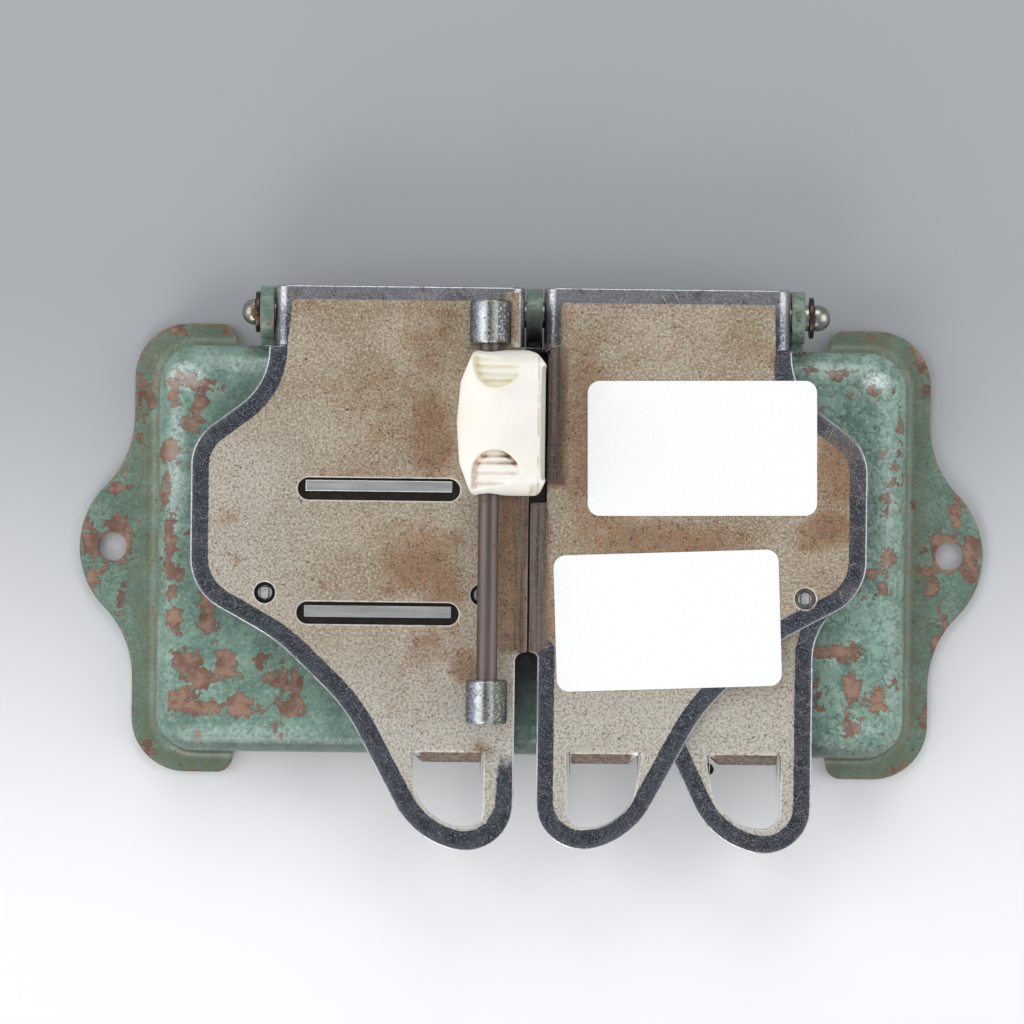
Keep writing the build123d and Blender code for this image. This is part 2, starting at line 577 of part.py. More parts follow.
def finger_recess(open_y, inner_y, middle_u, grooves):
    """Takes an arched, ribbed finger recess out of the handle's crown, open towards one end of the handle."""
    inward = 1 if inner_y > open_y else -1
    low, high = recess_floor_v
    floor = [(open_y, low)]
    for y in grooves:
        level = low + (high - low) * (y - open_y) / (inner_y - open_y)
        floor += [(y - inward * groove_width / 2, level), (y, level - groove_depth),
                  (y + inward * groove_width / 2, level)]
    floor += [(inner_y, high), (inner_y, 8.0), (open_y, 8.0)]
    side_plane = Plane(origin=(scraper_x, 0, scraper_z), x_dir=(0, 1, 0), z_dir=(cos(rock), 0, sin(rock)))
    with BuildSketch(side_plane.offset(middle_u - recess_radius)) as ribs:
        with BuildLine():
            Polyline(floor, close=True)
        make_face()
    scoop = extrude(ribs.sketch, amount=2 * recess_radius, mode=Mode.PRIVATE)
    u_dir, v_dir = (cos(rock), 0, sin(rock)), (-sin(rock), 0, cos(rock))
    over = Plane(origin=(scraper_x, 0, scraper_z), x_dir=u_dir, z_dir=v_dir)
    arch_y = inner_y - inward * recess_radius
    with BuildSketch(over.offset(1)) as arch:
        with Locations((middle_u, arch_y)):
            Circle(recess_radius)
        with Locations((middle_u, (open_y + arch_y) / 2)):
            Rectangle(2 * recess_radius, abs(arch_y - open_y))
    add(scoop & extrude(arch.sketch, amount=9, mode=Mode.PRIVATE), mode=Mode.SUBTRACT)


with BuildPart() as scraper_handle:
    crown_start = (handle_left_u, crown_left_v)
    crown_end = (crown_right_u + flange_height, crown_right_v)
    with BuildSketch(handle_plane(handle_back_y)) as crown:
        with BuildLine():
            Polyline(
                crown_end, (handle_right_u + flange_height, bottom_v), (-0.5, bottom_v), (handle_left_u, -1.5),
                crown_start,
            )
            ThreePointArc(crown_start, (2.0, crown_middle_v), crown_end)
        make_face()
        fillet(crown.vertices().sort_by(Axis.Y)[-2:], crown_round)
    extrude(amount=handle_back_y - handle_front_y)
    with BuildSketch(handle_plane(flange_ends[1])):
        Polygon((handle_right_u - 0.1, bottom_v - 1), (12, bottom_v - 1), (12, 6), (crown_right_u + 0.3, 6),
                align=None)
    extrude(amount=flange_ends[1] - flange_ends[0], mode=Mode.SUBTRACT)
    with BuildSketch(Plane.YZ.offset(-12)):
        with BuildLine():
            Polyline((handle_front_y, 17.2), (handle_front_y, 12), (handle_back_y, 12), (handle_back_y, 17.2))
            ThreePointArc((handle_front_y, 17.2), (handle_front_y + 0.8, 19.4), (top_front_y, 20.9))
            ThreePointArc((top_front_y, 20.9), (handle_middle_y, 22.4), (top_back_y, 20.9))
            ThreePointArc((top_back_y, 20.9), (handle_back_y - 0.8, 19.4), (handle_back_y, 17.2))
        make_face()
    extrude(amount=16, mode=Mode.INTERSECT)
    with BuildSketch(Plane.XY.offset(12)) as plan:
        with BuildLine():
            Polyline(
                (-8.6, handle_front_y), (0.85, handle_front_y), (1.92, flange_ends[0]), (1.92, flange_ends[1]),
                (0.6, 27.8), (-0.7, handle_back_y), (-8.4, handle_back_y), (-10.2, 23.8),
                (-10.7, handle_middle_y), (-10.3, 12.4), close=True,
            )
        make_face()
        fillet(plan.vertices(), 1.2)
    extrude(amount=12, mode=Mode.INTERSECT)
    with BuildSketch(handle_plane(handle_back_y - end_wall)):
        with Locations(((cavity_u[0] + cavity_u[1]) / 2, (bottom_v + ceiling_v) / 2 - 1)):
            RectangleRounded(cavity_u[1] - cavity_u[0], ceiling_v - bottom_v + 2, 0.9)
    extrude(amount=handle_back_y - handle_front_y - 2 * end_wall, mode=Mode.SUBTRACT)
    with BuildSketch(handle_plane(boss_y)):
        with Locations(((boss_u + handle_right_u - 0.5) / 2, (bottom_v + ceiling_v) / 2)):
            Rectangle(handle_right_u - 0.5 - boss_u, ceiling_v - bottom_v)
    extrude(amount=boss_length)
    with BuildSketch(handle_plane(handle_back_y)):
        Circle(saddle_radius)
        with Locations((0, -2)):
            Rectangle(2 * saddle_half, 4)
    extrude(amount=handle_back_y - handle_front_y, mode=Mode.SUBTRACT)
    with BuildSketch(handle_plane(blade_y + blade_play)):
        with Locations(((boss_u + blade_tip_u[1]) / 2 + blade_play, (blade_top_v + bottom_v) / 2 - 1)):
            Rectangle(blade_tip_u[1] - boss_u, blade_top_v - bottom_v + 2 + 2 * blade_play)
    extrude(amount=blade_thickness + 2 * blade_play, mode=Mode.SUBTRACT)
    with BuildSketch(handle_plane(boss_y)):
        with Locations(blade_pin_at):
            Circle(blade_pin_radius + hole_play)
    extrude(amount=boss_length, mode=Mode.SUBTRACT)
    with BuildSketch(Plane.YZ.offset(right_seam_edge - sweep_play)):
        with Locations((hinge_y, hinge_z)):
            Circle(notch_sweep + 10)
            Circle(notch_sweep - sweep_play, mode=Mode.SUBTRACT)
    extrude(amount=4, mode=Mode.SUBTRACT)
    finger_recess(handle_front_y, 14.3, 2.0, front_grooves)
    finger_recess(handle_back_y, 23.0, 2.1, rear_grooves)
scraper_handle.part.label = "scraper_handle"

with BuildPart() as scraper_blade:
    with BuildSketch(handle_plane(blade_y)):
        with BuildLine():
            Polyline(
                (boss_u + 0.4, blade_top_v), (blade_tip_u[1], blade_top_v), (blade_tip_u[1], blade_tip_v),
                (blade_tip_u[0], blade_tip_v), (blade_tip_u[0], bottom_v - 0.2), (boss_u + 0.4, bottom_v + 0.2),
                close=True,
            )
        make_face()
        with Locations(blade_pin_at):
            Circle(blade_pin_radius + hole_play, mode=Mode.SUBTRACT)
    extrude(amount=blade_thickness)
scraper_blade.part.label = "scraper_blade"

with BuildPart() as blade_pin:
    with BuildSketch(handle_plane(boss_y)):
        with Locations(blade_pin_at):
            Circle(blade_pin_radius)
    extrude(amount=boss_length)
blade_pin.part.label = "blade_pin"

for piece in (
    base_pan, hinge_bracket, hinge_bracket_rivets, hinge_rod, retaining_clip_left, retaining_clip_right,
    rest_pads_right, left_lower_plate, left_plate_spacers, left_plate_rivets, left_guide_bar_rear,
    left_guide_bar_front, left_film_pins, right_lower_plate, lower_plate_stop, right_guide_bar_rear,
    right_guide_bar_front, right_film_pins, left_upper_plate, right_upper_plate, scraper_rod, rod_bracket_rear,
    rod_bracket_front, scraper_carrier, carrier_leaf_spring, scraper_handle, scraper_blade, blade_pin,
):
    export_step(piece.part, f"parts/{piece.part.label}.step")
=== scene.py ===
from math import acos, atan2, cos, pi, radians, sin, tan

import bmesh
import bpy
from mathutils import Matrix, Vector


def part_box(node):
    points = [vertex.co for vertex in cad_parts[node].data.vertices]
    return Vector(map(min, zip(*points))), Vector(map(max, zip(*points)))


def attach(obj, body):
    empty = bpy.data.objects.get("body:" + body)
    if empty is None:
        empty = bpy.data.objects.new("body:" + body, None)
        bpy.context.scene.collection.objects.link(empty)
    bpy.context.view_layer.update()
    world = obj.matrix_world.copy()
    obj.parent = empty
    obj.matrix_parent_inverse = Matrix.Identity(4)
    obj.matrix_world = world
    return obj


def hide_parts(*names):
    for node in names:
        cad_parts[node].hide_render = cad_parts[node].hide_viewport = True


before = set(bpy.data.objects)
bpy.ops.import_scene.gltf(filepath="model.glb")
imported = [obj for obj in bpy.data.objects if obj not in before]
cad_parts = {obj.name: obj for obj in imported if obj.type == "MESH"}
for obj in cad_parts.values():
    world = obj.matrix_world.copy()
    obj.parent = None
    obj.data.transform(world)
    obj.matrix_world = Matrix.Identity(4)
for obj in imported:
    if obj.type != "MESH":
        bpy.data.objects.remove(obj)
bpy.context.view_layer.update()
MM = 0.001


# ---- Base tray
# A shallow tray pressed from sheet steel, with an eared flange, stove-enamelled in green hammertone paint. The
# paint has chipped at corners and edges down to its red-brown primer. It is open below.
def put(tree, kind, inputs=None, **settings):
    """Adds a shader node; each input is a value or another node's output."""
    node = tree.nodes.new("ShaderNode" + kind)
    for key, value in settings.items():
        setattr(node, key, value)
    for key, value in (inputs or {}).items():
        if isinstance(value, bpy.types.NodeSocket):
            tree.links.new(value, node.inputs[key])
        else:
            node.inputs[key].default_value = value
    return node


def new_group(name, inputs, outputs):
    """A shader node group: inputs are (name, kind, default), outputs (name, kind)."""
    tree = bpy.data.node_groups.new(name, "ShaderNodeTree")
    for label, kind, default in inputs:
        tree.interface.new_socket(label, in_out="INPUT", socket_type="NodeSocket" + kind).default_value = default
    for label, kind in outputs:
        tree.interface.new_socket(label, in_out="OUTPUT", socket_type="NodeSocket" + kind)
    return tree, tree.nodes.new("NodeGroupInput").outputs, tree.nodes.new("NodeGroupOutput").inputs


def new_material(name, metallic, roughness):
    """A material, its node tree, its shader and the object coordinates in it."""
    material = bpy.data.materials.new(name)
    material.use_nodes = True
    tree = material.node_tree
    shader = tree.nodes["Principled BSDF"]
    shader.inputs["Metallic"].default_value = metallic
    shader.inputs["Roughness"].default_value = roughness
    return material, tree, shader, tree.nodes.new("ShaderNodeTexCoord").outputs["Object"]


def effect(tree, group, inputs):
    """Places a shared effect in a material and returns its outputs."""
    node = tree.nodes.new("ShaderNodeGroup")
    node.node_tree = group
    for key, value in inputs.items():
        if isinstance(value, bpy.types.NodeSocket):
            tree.links.new(value, node.inputs[key])
        else:
            node.inputs[key].default_value = value
    return node.outputs


def rgb(*levels):
    """A colour from its 0 to 255 values as seen on a screen, with full alpha."""
    return tuple((v / 255 / 12.92 if v < 10.3 else ((v / 255 + 0.055) / 1.055) ** 2.4) for v in levels) + (1.0,)


def mix(tree, factor, a, b):
    """Mixes two colours."""
    return put(tree, "Mix", {0: factor, 6: a, 7: b}, data_type="RGBA").outputs[2]


def step(tree, value, low, high):
    """0 below low, 1 above high, smooth between."""
    inputs = {0: value, 1: low, 2: high, 3: 0.0, 4: 1.0}
    return put(tree, "MapRange", inputs, interpolation_type="SMOOTHSTEP").outputs[0]


def maths(tree, operation, *values):
    """A math node on values or outputs."""
    return put(tree, "Math", dict(enumerate(values)), operation=operation).outputs[0]


# Patches with ragged outlines, as paint chips and rust stains have.
patches, given, out = new_group(
    "ragged patches",
    [("Place", "Vector", (0, 0, 0)), ("Size", "Float", 200.0), ("Grain", "Float", 1500.0), ("Cover", "Float", 0.5),
     ("Edge", "Float", 0.02)],
    [("Mask", "Float")],
)
large = put(patches, "TexNoise", {"Vector": given["Place"], "Scale": given["Size"], "Detail": 3.0,
                                  "Roughness": 0.6}).outputs[0]
fine = put(patches, "TexNoise", {"Vector": given["Place"], "Scale": given["Grain"], "Detail": 4.0,
                                 "Roughness": 0.7}).outputs[0]
ragged = maths(patches, "MULTIPLY_ADD", maths(patches, "SUBTRACT", fine, 0.5), 0.35, large)
floor_level = maths(patches, "SUBTRACT", 1.0, given["Cover"])
patches.links.new(
    step(patches, ragged, floor_level, maths(patches, "ADD", floor_level, given["Edge"])), out["Mask"])

# The edges of a piece: where paint wears off them, and where a highlight is painted on them.
edges, given, out = new_group("edge wear and highlight", [("Width", "Float", 0.0003)], [("Mask", "Float")])
bent = edges.nodes.new("ShaderNodeBevel")
bent.samples = 6
edges.links.new(given["Width"], bent.inputs["Radius"])
straight = edges.nodes.new("ShaderNodeNewGeometry")
turn = put(edges, "VectorMath", {0: bent.outputs[0], 1: straight.outputs["Normal"]}, operation="DOT_PRODUCT")
edges.links.new(step(edges, maths(edges, "SUBTRACT", 1.0, turn.outputs["Value"]), 0.02, 0.12), out["Mask"])

# Single small pits: a share of the cells of a pattern holds a round spot.
pitting, given, out = new_group(
    "scattered pits",
    [("Place", "Vector", (0, 0, 0)), ("Count", "Float", 400.0), ("Share", "Float", 0.2), ("Radius", "Float", 0.15)],
    [("Mask", "Float")],
)
cells = put(pitting, "TexVoronoi", {"Vector": given["Place"], "Scale": given["Count"]})
luck = put(pitting, "SeparateColor", {0: cells.outputs["Color"]}).outputs[0]
chosen = maths(pitting, "LESS_THAN", luck, given["Share"])
spot = step(pitting, cells.outputs["Distance"], given["Radius"], maths(pitting, "MULTIPLY", given["Radius"], 0.6))
pitting.links.new(maths(pitting, "MULTIPLY", chosen, spot), out["Mask"])


def painted(tree, name):
    """The value that was painted on a piece's corners under this name."""
    return put(tree, "Attribute", attribute_name=name).outputs["Fac"]


def noise(tree, place, scale, detail=3.0, roughness=0.6):
    """Soft irregular values round 0.5."""
    inputs = {"Vector": place, "Scale": scale, "Detail": detail, "Roughness": roughness}
    return put(tree, "TexNoise", inputs).outputs[0]


hammertone, tree, shader, place = new_material("green hammertone", 0.0, 0.32)
at = put(tree, "SeparateXYZ", {0: place}).outputs
waves = noise(tree, place, 230.0)
mottle = noise(tree, place, 1700.0, 5.0, 0.72)
paint = mix(tree, step(tree, waves, 0.36, 0.66), rgb(104, 132, 118), rgb(132, 159, 144))
# hammer pattern: scale-like cells that stand out on the right side of the pan and fade to the left;
# the cells' lighter tone there is partly a painted highlight on the dimples
drift = put(tree, "TexNoise", {"Vector": place, "Scale": 380.0, "Detail": 4.0}).outputs[1]
warped = put(tree, "VectorMath", {0: drift, 1: (0.0045, 0.0045, 0.0045), 2: place}, operation="MULTIPLY_ADD")
net = put(tree, "TexVoronoi", {"Vector": warped.outputs[0], "Scale": 560.0}, feature="DISTANCE_TO_EDGE").outputs[0]
cells = put(tree, "TexVoronoi", {"Vector": warped.outputs[0], "Scale": 560.0}).outputs
shade = put(tree, "SeparateColor", {0: cells["Color"]}).outputs[0]
figure = maths(tree, "MULTIPLY", step(tree, at["X"], -60 * MM, 42 * MM), step(tree, at["Z"], 3.0 * MM, 7.5 * MM))
broken = maths(tree, "MULTIPLY", figure, step(tree, noise(tree, place, 700.0, 3.0), 0.42, 0.60))
crease = maths(tree, "MULTIPLY", step(tree, net, 0.09, 0.0), broken)
paint = mix(tree, maths(tree, "MULTIPLY", step(tree, shade, 0.1, 0.9), maths(tree, "MULTIPLY", figure, 0.55)), paint,
            rgb(154, 181, 166))
paint = mix(tree, maths(tree, "MULTIPLY", step(tree, mottle, 0.50, 0.63), 0.42), paint, rgb(78, 98, 84))
paint = mix(tree, maths(tree, "MULTIPLY", step(tree, mottle, 0.46, 0.33), 0.5), paint, rgb(172, 194, 180))
speckled = maths(tree, "MULTIPLY", step(tree, noise(tree, place, 3300.0, 4.0, 0.75), 0.53, 0.62),
                 step(tree, at["Z"], 6.0 * MM, 2.0 * MM))
paint = mix(tree, maths(tree, "MULTIPLY", speckled, 0.7), paint, rgb(66, 72, 56))
smeared = step(tree, noise(tree, place, 1100.0, 6.0, 0.75), 0.50, 0.60)
smeared = maths(tree, "MULTIPLY", smeared, step(tree, at["Z"], 3.0 * MM, 1.5 * MM))
paint = mix(tree, maths(tree, "MULTIPLY", smeared, 0.5), paint, rgb(96, 96, 72))
paint = mix(tree, maths(tree, "MULTIPLY", crease, 0.75), paint, rgb(60, 88, 76))
# a painted highlight lies on the rounding of the pan where "sheen" was painted
painted_highlight = maths(tree, "MULTIPLY", painted(tree, "sheen"), step(tree, mottle, 0.74, 0.34))
paint = mix(tree, painted_highlight, paint, rgb(218, 232, 228))
# old brown grease lies along the foot of the walls and on the flange beside it
grease = step(tree, noise(tree, place, 420.0, 6.0, 0.7), 0.38, 0.62)
far_x = maths(tree, "ABSOLUTE", at["X"])
foot = maths(tree, "MULTIPLY", step(tree, at["Z"], 5.5 * MM, 1.6 * MM), step(tree, far_x, 59.0 * MM, 54.0 * MM))
paint = mix(tree, maths(tree, "MULTIPLY", foot, maths(tree, "MULTIPLY_ADD", grease, 0.55, 0.22)), paint,
            rgb(118, 113, 84))
paint = mix(tree, maths(tree, "MULTIPLY", step(tree, at["Z"], 1.9 * MM, 1.2 * MM), 0.25), paint, rgb(96, 116, 100))
# painted shade darkens the pan in the gap under the seam and along its front wall
paint = mix(tree, painted(tree, "painted_shade"), paint, rgb(48, 50, 44))
dots = effect(tree, pitting, {"Place": place, "Count": 620.0, "Share": 0.22, "Radius": 0.14})["Mask"]
paint = mix(tree, maths(tree, "MULTIPLY", dots, 0.7), paint, rgb(56, 60, 50))
# primer shows where chips were painted on the mesh, and along worn edges
frayed = maths(tree, "SUBTRACT", noise(tree, place, 430.0, 8.0, 0.66), 0.5)
level = maths(tree, "MULTIPLY_ADD", frayed, 5.2, painted(tree, "chip"))
level = maths(tree, "MULTIPLY_ADD", maths(tree, "SUBTRACT", noise(tree, place, 1100.0, 5.0, 0.7), 0.5), 2.6, level)
chips = step(tree, level, 0.0, 0.05)
edge = effect(tree, edges, {"Width": 0.9 * MM})["Mask"]
edge_chips = effect(tree, patches, {"Place": place, "Size": 260.0, "Grain": 1300.0, "Cover": 0.56,
                                    "Edge": 0.03})["Mask"]
flecks = effect(tree, patches, {"Place": place, "Size": 330.0, "Grain": 1300.0, "Cover": 0.33,
                                "Edge": 0.012})["Mask"]
bare = maths(tree, "MAXIMUM", maths(tree, "MAXIMUM", chips, flecks), maths(tree, "MULTIPLY", edge, edge_chips))
primer_tone = noise(tree, place, 380.0, 6.0)
primer = mix(tree, step(tree, primer_tone, 0.38, 0.60), rgb(116, 86, 70), rgb(150, 121, 102))
primer = mix(tree, maths(tree, "MULTIPLY", step(tree, primer_tone, 0.62, 0.70), 0.8), primer, rgb(166, 104, 56))
rind = maths(tree, "MULTIPLY", step(tree, level, 0.5, 0.06), chips)
primer = mix(tree, maths(tree, "MULTIPLY", rind, 0.65), primer, rgb(108, 60, 50))
# the painted highlight lies on bare primer too
primer = mix(tree, maths(tree, "MULTIPLY", painted_highlight, 0.5), primer, rgb(214, 214, 208))
tree.links.new(mix(tree, bare, paint, primer), shader.inputs["Base Color"])
dull = maths(tree, "MAXIMUM", maths(tree, "MULTIPLY", bare, 0.35), maths(tree, "MULTIPLY", foot, 0.12))
tree.links.new(maths(tree, "ADD", dull, 0.26), shader.inputs["Roughness"])
relief = maths(tree, "MULTIPLY_ADD", step(tree, net, 0.0, 0.4), maths(tree, "MULTIPLY_ADD", figure, 1.0, 0.05), waves)
relief = maths(tree, "MULTIPLY_ADD", mottle, 0.5, relief)
relief = maths(tree, "MULTIPLY_ADD", bare, -0.8, relief)
bump = put(tree, "Bump", {"Strength": 0.6, "Distance": 0.12 * MM, "Height": relief})
tree.links.new(bump.outputs[0], shader.inputs["Normal"])


def finish_of(node, bevel, sharp=32, segments=2, clamped=True):
    """A merged copy of a CAD node's shape with its sharp edges rounded off, shaded smooth."""
    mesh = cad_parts[node].data.copy()
    mesh.name = node + "_made"
    mesh.materials.clear()
    made = bmesh.new()
    made.from_mesh(mesh)
    bmesh.ops.remove_doubles(made, verts=made.verts, dist=1e-6)
    bmesh.ops.dissolve_limit(made, angle_limit=radians(0.6), verts=made.verts, edges=made.edges)
    if bevel:
        corners = [e for e in made.edges if e.is_manifold and e.calc_face_angle(0.0) > radians(sharp)]
        bmesh.ops.bevel(made, geom=corners, offset=bevel, segments=segments, profile=0.5, affect="EDGES",
                        material=-1, clamp_overlap=clamped)
    for face in made.faces:
        face.smooth = True
    for e in made.edges:
        e.smooth = not (e.is_manifold and e.calc_face_angle(0.0) > radians(sharp + 14))
    made.to_mesh(mesh)
    made.free()
    piece = bpy.data.objects.new(node + "_piece", mesh)
    bpy.context.scene.collection.objects.link(piece)
    even = piece.modifiers.new("even faces", "WEIGHTED_NORMAL")
    even.keep_sharp = True
    return piece


def seat(piece, body, slot, material, *nodes):
    """Gives a piece its material, and lets it stand for its CAD nodes on their body."""
    piece.data.materials.append(material)
    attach(piece, body)
    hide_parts(*nodes)


def gridded(piece, node, spacing, upward=False):
    """Cuts a piece's faces along a grid, so that values painted on its corners show finely."""
    made = bmesh.new()
    made.from_mesh(piece.data)
    low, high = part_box(node)
    for axis in (0, 1):
        cut = low[axis] + spacing
        while cut < high[axis]:
            at, across = Vector((0, 0, 0)), Vector((0, 0, 0))
            at[axis], across[axis] = cut, 1.0
            if upward:
                faces = [f for f in made.faces if f.normal.z > 0.05]
                picked = faces + list({e for f in faces for e in f.edges}) + list({v for f in faces for v in f.verts})
            else:
                picked = made.verts[:] + made.edges[:] + made.faces[:]
            bmesh.ops.bisect_plane(made, geom=picked, dist=1e-7, plane_co=at, plane_no=across)
            cut += spacing
    made.to_mesh(piece.data)
    made.free()


def paint_on(piece, name, value_at):
    """Stores a value on each of a piece's corners."""
    values = piece.data.attributes.new(name, "FLOAT", "POINT")
    for vertex, value in zip(piece.data.vertices, values.data):
        value.value = value_at(vertex.co / MM)


# Paint chips as (x, y, half width, half height): left side of the pan, its right side, and the flange.
pan_chips = [
    (-48.7, 23.4, 3.1, 1.0), (-47.1, 20.7, 1.0, 1.4), (-47.8, 18.7, 0.9, 1.7), (-48.9, 17.4, 1.1, 1.1),
    (-51.1, 13.8, 1.7, 1.8), (-50.8, 21.4, 0.7, 1.0), (-51.3, 4.3, 0.7, 1.7), (-51.3, 0.8, 1.0, 1.6),
    (-50.9, -3.2, 1.3, 1.3), (-51.0, -6.3, 0.7, 2.1), (-50.4, -9.8, 1.0, 1.7), (-52.1, 8.2, 0.5, 2.0),
    (-45.7, -10.9, 1.6, 1.6), (-46.1, -7.8, 1.1, 1.6), (-48.7, -15.9, 2.0, 1.6), (-47.2, -18.3, 2.6, 1.7),
    (-43.1, -15.9, 1.6, 1.6), (-42.8, -17.7, 1.8, 0.9), (-49.6, -21.5, 1.8, 1.7), (-46.3, -22.6, 4.0, 1.3),
    (-41.3, -22.8, 3.4, 1.1), (-41.1, -21.5, 1.3, 1.3), (-38.4, -15.8, 1.0, 0.9), (-37.4, -18.5, 1.3, 0.9),
    (-35.4, -17.3, 0.7, 0.7), (-34.4, -19.4, 2.1, 0.9), (-32.9, -19.3, 1.0, 1.7), (-33.7, -22.8, 1.6, 1.4),
    (-35.3, -22.1, 0.7, 1.1), (-35.8, -24.8, 0.6, 0.5), (-51.6, 10.6, 0.6, 1.8), (-51.6, -1.3, 0.5, 1.4),
    (-51.6, 2.6, 0.5, 1.2), (-50.9, -8.2, 0.5, 1.2), (-46.9, 22.3, 0.7, 1.3), (-50.0, 12.6, 1.3, 0.9),
    (48.8, 23.3, 2.0, 1.0), (43.3, 25.5, 1.4, 0.5), (39.5, 26.3, 0.9, 0.4), (50.3, 23.6, 0.6, 1.1),
    (52.0, 17.2, 0.4, 2.1), (51.6, 11.9, 0.6, 1.7), (50.2, 8.0, 0.6, 0.8), (50.2, 6.1, 0.4, 0.6),
    (50.5, 0.3, 1.1, 1.3), (48.2, -3.0, 1.3, 1.1), (49.8, -3.7, 0.7, 1.6), (43.1, -13.7, 3.7, 1.3),
    (45.7, -18.9, 1.4, 2.1), (49.1, -20.6, 1.1, 1.6), (51.7, -17.8, 0.6, 0.6), (45.6, -24.3, 1.6, 1.4),
    (47.5, -22.9, 0.6, 0.5), (40.5, -20.5, 0.7, 2.8),
]
flange_chips = [
    (-59.3, 2.8, 1.7, 1.6), (-61.9, 0.2, 0.7, 1.9), (-59.3, 0.1, 2.6, 2.6), (-60.7, -3.2, 0.9, 1.1),
    (-56.3, 23.6, 0.6, 2.1), (-56.1, 16.7, 0.9, 1.3), (-54.9, 21.3, 0.6, 2.0), (-51.4, 31.0, 1.4, 0.7),
    (-52.2, 27.2, 0.7, 1.3), (-54.7, -28.7, 1.0, 1.0), (-59.6, 8.4, 1.4, 0.7), (-63.2, 0.9, 0.7, 2.9),
    (-62.9, -4.1, 0.7, 2.0), (-58.8, -8.4, 0.7, 1.7), (58.6, 1.8, 2.1, 1.6), (63.2, 0.2, 1.3, 2.9),
    (60.9, 6.4, 1.0, 2.6), (59.7, -0.1, 2.6, 2.6), (56.5, -2.3, 1.4, 1.0), (57.2, -5.0, 1.3, 1.3),
    (59.0, -9.1, 0.9, 2.9), (58.1, -11.7, 0.7, 2.0), (56.2, -18.3, 0.9, 0.9), (55.4, 28.8, 0.7, 1.6),
    (56.4, 23.8, 0.4, 1.3), (54.8, 7.0, 0.6, 0.6), (56.5, -21.3, 0.5, 1.4), (53.9, -31.2, 1.7, 0.5),
]


def chip_depth(point):
    """How far inside the nearest paint chip a point lies, in millimetres; negative outside."""
    spots = pan_chips if abs(point.x) < 53.3 and abs(point.y) < 29.0 else flange_chips
    return max(max((1 - Vector(((point.x - x) / w, (point.y - y) / h)).length) * min(w, h) for x, y, w, h in spots),
               -2.3)


def spot_level(point, spots):
    """The strongest of some soft spots of (x, y, half width, half height, strength) at a point."""
    return max(level * max(0.0, 1 - Vector(((point.x - x) / w, (point.y - y) / h)).length ** 2)
               for x, y, w, h, level in spots)


# spots of painted highlight on the pan's roundings: (x, y, half width, half height, strength)
sheen_spots = [
    (-49.2, 24.2, 3.2, 2.6, 1.0), (-50.2, 12.0, 1.7, 13.0, 0.5), (-38.0, 25.9, 11.0, 1.3, 0.4),
    (48.6, 24.6, 2.6, 1.9, 1.3), (43.0, 26.2, 7.0, 1.2, 0.5), (50.0, 6.0, 1.3, 17.0, 0.35),
    (-40.0, -26.0, 13.0, 1.4, 0.35), (47.0, -24.5, 4.0, 1.6, 0.3),
]
tray = finish_of("base_pan", 0.22 * MM)
gridded(tray, "base_pan", 0.9 * MM, True)
paint_on(tray, "chip", chip_depth)
paint_on(tray, "sheen", lambda point: spot_level(point, sheen_spots) if point.z > 4 else 0.0)


def painted_shade_level(point):
    """Painted shade on the pan under the seam, and on its front wall."""
    wall = 0.55 * max(0.0, min(1.0, (-26.2 - point.y) / 1.7)) if point.z > 1.6 else 0.0
    return max(wall, spot_level(point, [(-0.8, -10.0, 5.0, 15.0, 1.3), (0.8, 26.0, 6.0, 14.0, 1.2)]))


paint_on(tray, "painted_shade", painted_shade_level)
seat(tray, "base", "green_hammertone", hammertone, "base_pan")
bracket = finish_of("hinge_bracket", 0.15 * MM)
gridded(bracket, "hinge_bracket", 0.9 * MM)
paint_on(bracket, "chip", lambda point: -2.3)
# painted shade on the middle hinge lug and along the back of the bracket
paint_on(bracket, "painted_shade", lambda point: spot_level(point, [(0.0, 31.0, 9.0, 5.0, 0.95), (0.0, 33.0, 99.0, 7.0, 0.35)]))
seat(bracket, "base", "green_hammertone", hammertone, "hinge_bracket")


# ---- Hinge rod, clips and rivets
# A drawn steel rod carries all four plates along the back; a spring clip sits in a groove at each end.
def steel(name, tone, roughness, rust=0.3, grain=(1.0, 1.0, 1.0)):
    """Bare steel with drawing lines along the grain's short direction and a little rust."""
    material, tree, shader, place = new_material(name, 1.0, roughness)
    along = put(tree, "Mapping", {"Vector": place, "Scale": grain}).outputs[0]
    lines = put(tree, "TexNoise", {"Vector": along, "Scale": 900.0, "Detail": 4.0}).outputs[0]
    stains = effect(tree, patches, {"Place": place, "Size": 260.0, "Grain": 2200.0, "Cover": rust,
                                    "Edge": 0.08})["Mask"]
    bright = mix(tree, step(tree, lines, 0.3, 0.7), tuple(c * 0.72 for c in tone[:3]) + (1.0,), tone)
    tree.links.new(mix(tree, stains, bright, rgb(116, 84, 60)), shader.inputs["Base Color"])
    tree.links.new(maths(tree, "MULTIPLY_ADD", stains, 0.35, maths(tree, "MULTIPLY_ADD", lines, 0.2, roughness - 0.1)),
                   shader.inputs["Roughness"])
    tree.links.new(maths(tree, "SUBTRACT", 1.0, stains), shader.inputs["Metallic"])
    bump = put(tree, "Bump", {"Strength": 0.2, "Distance": 0.02 * MM, "Height": lines})
    tree.links.new(bump.outputs[0], shader.inputs["Normal"])
    return material


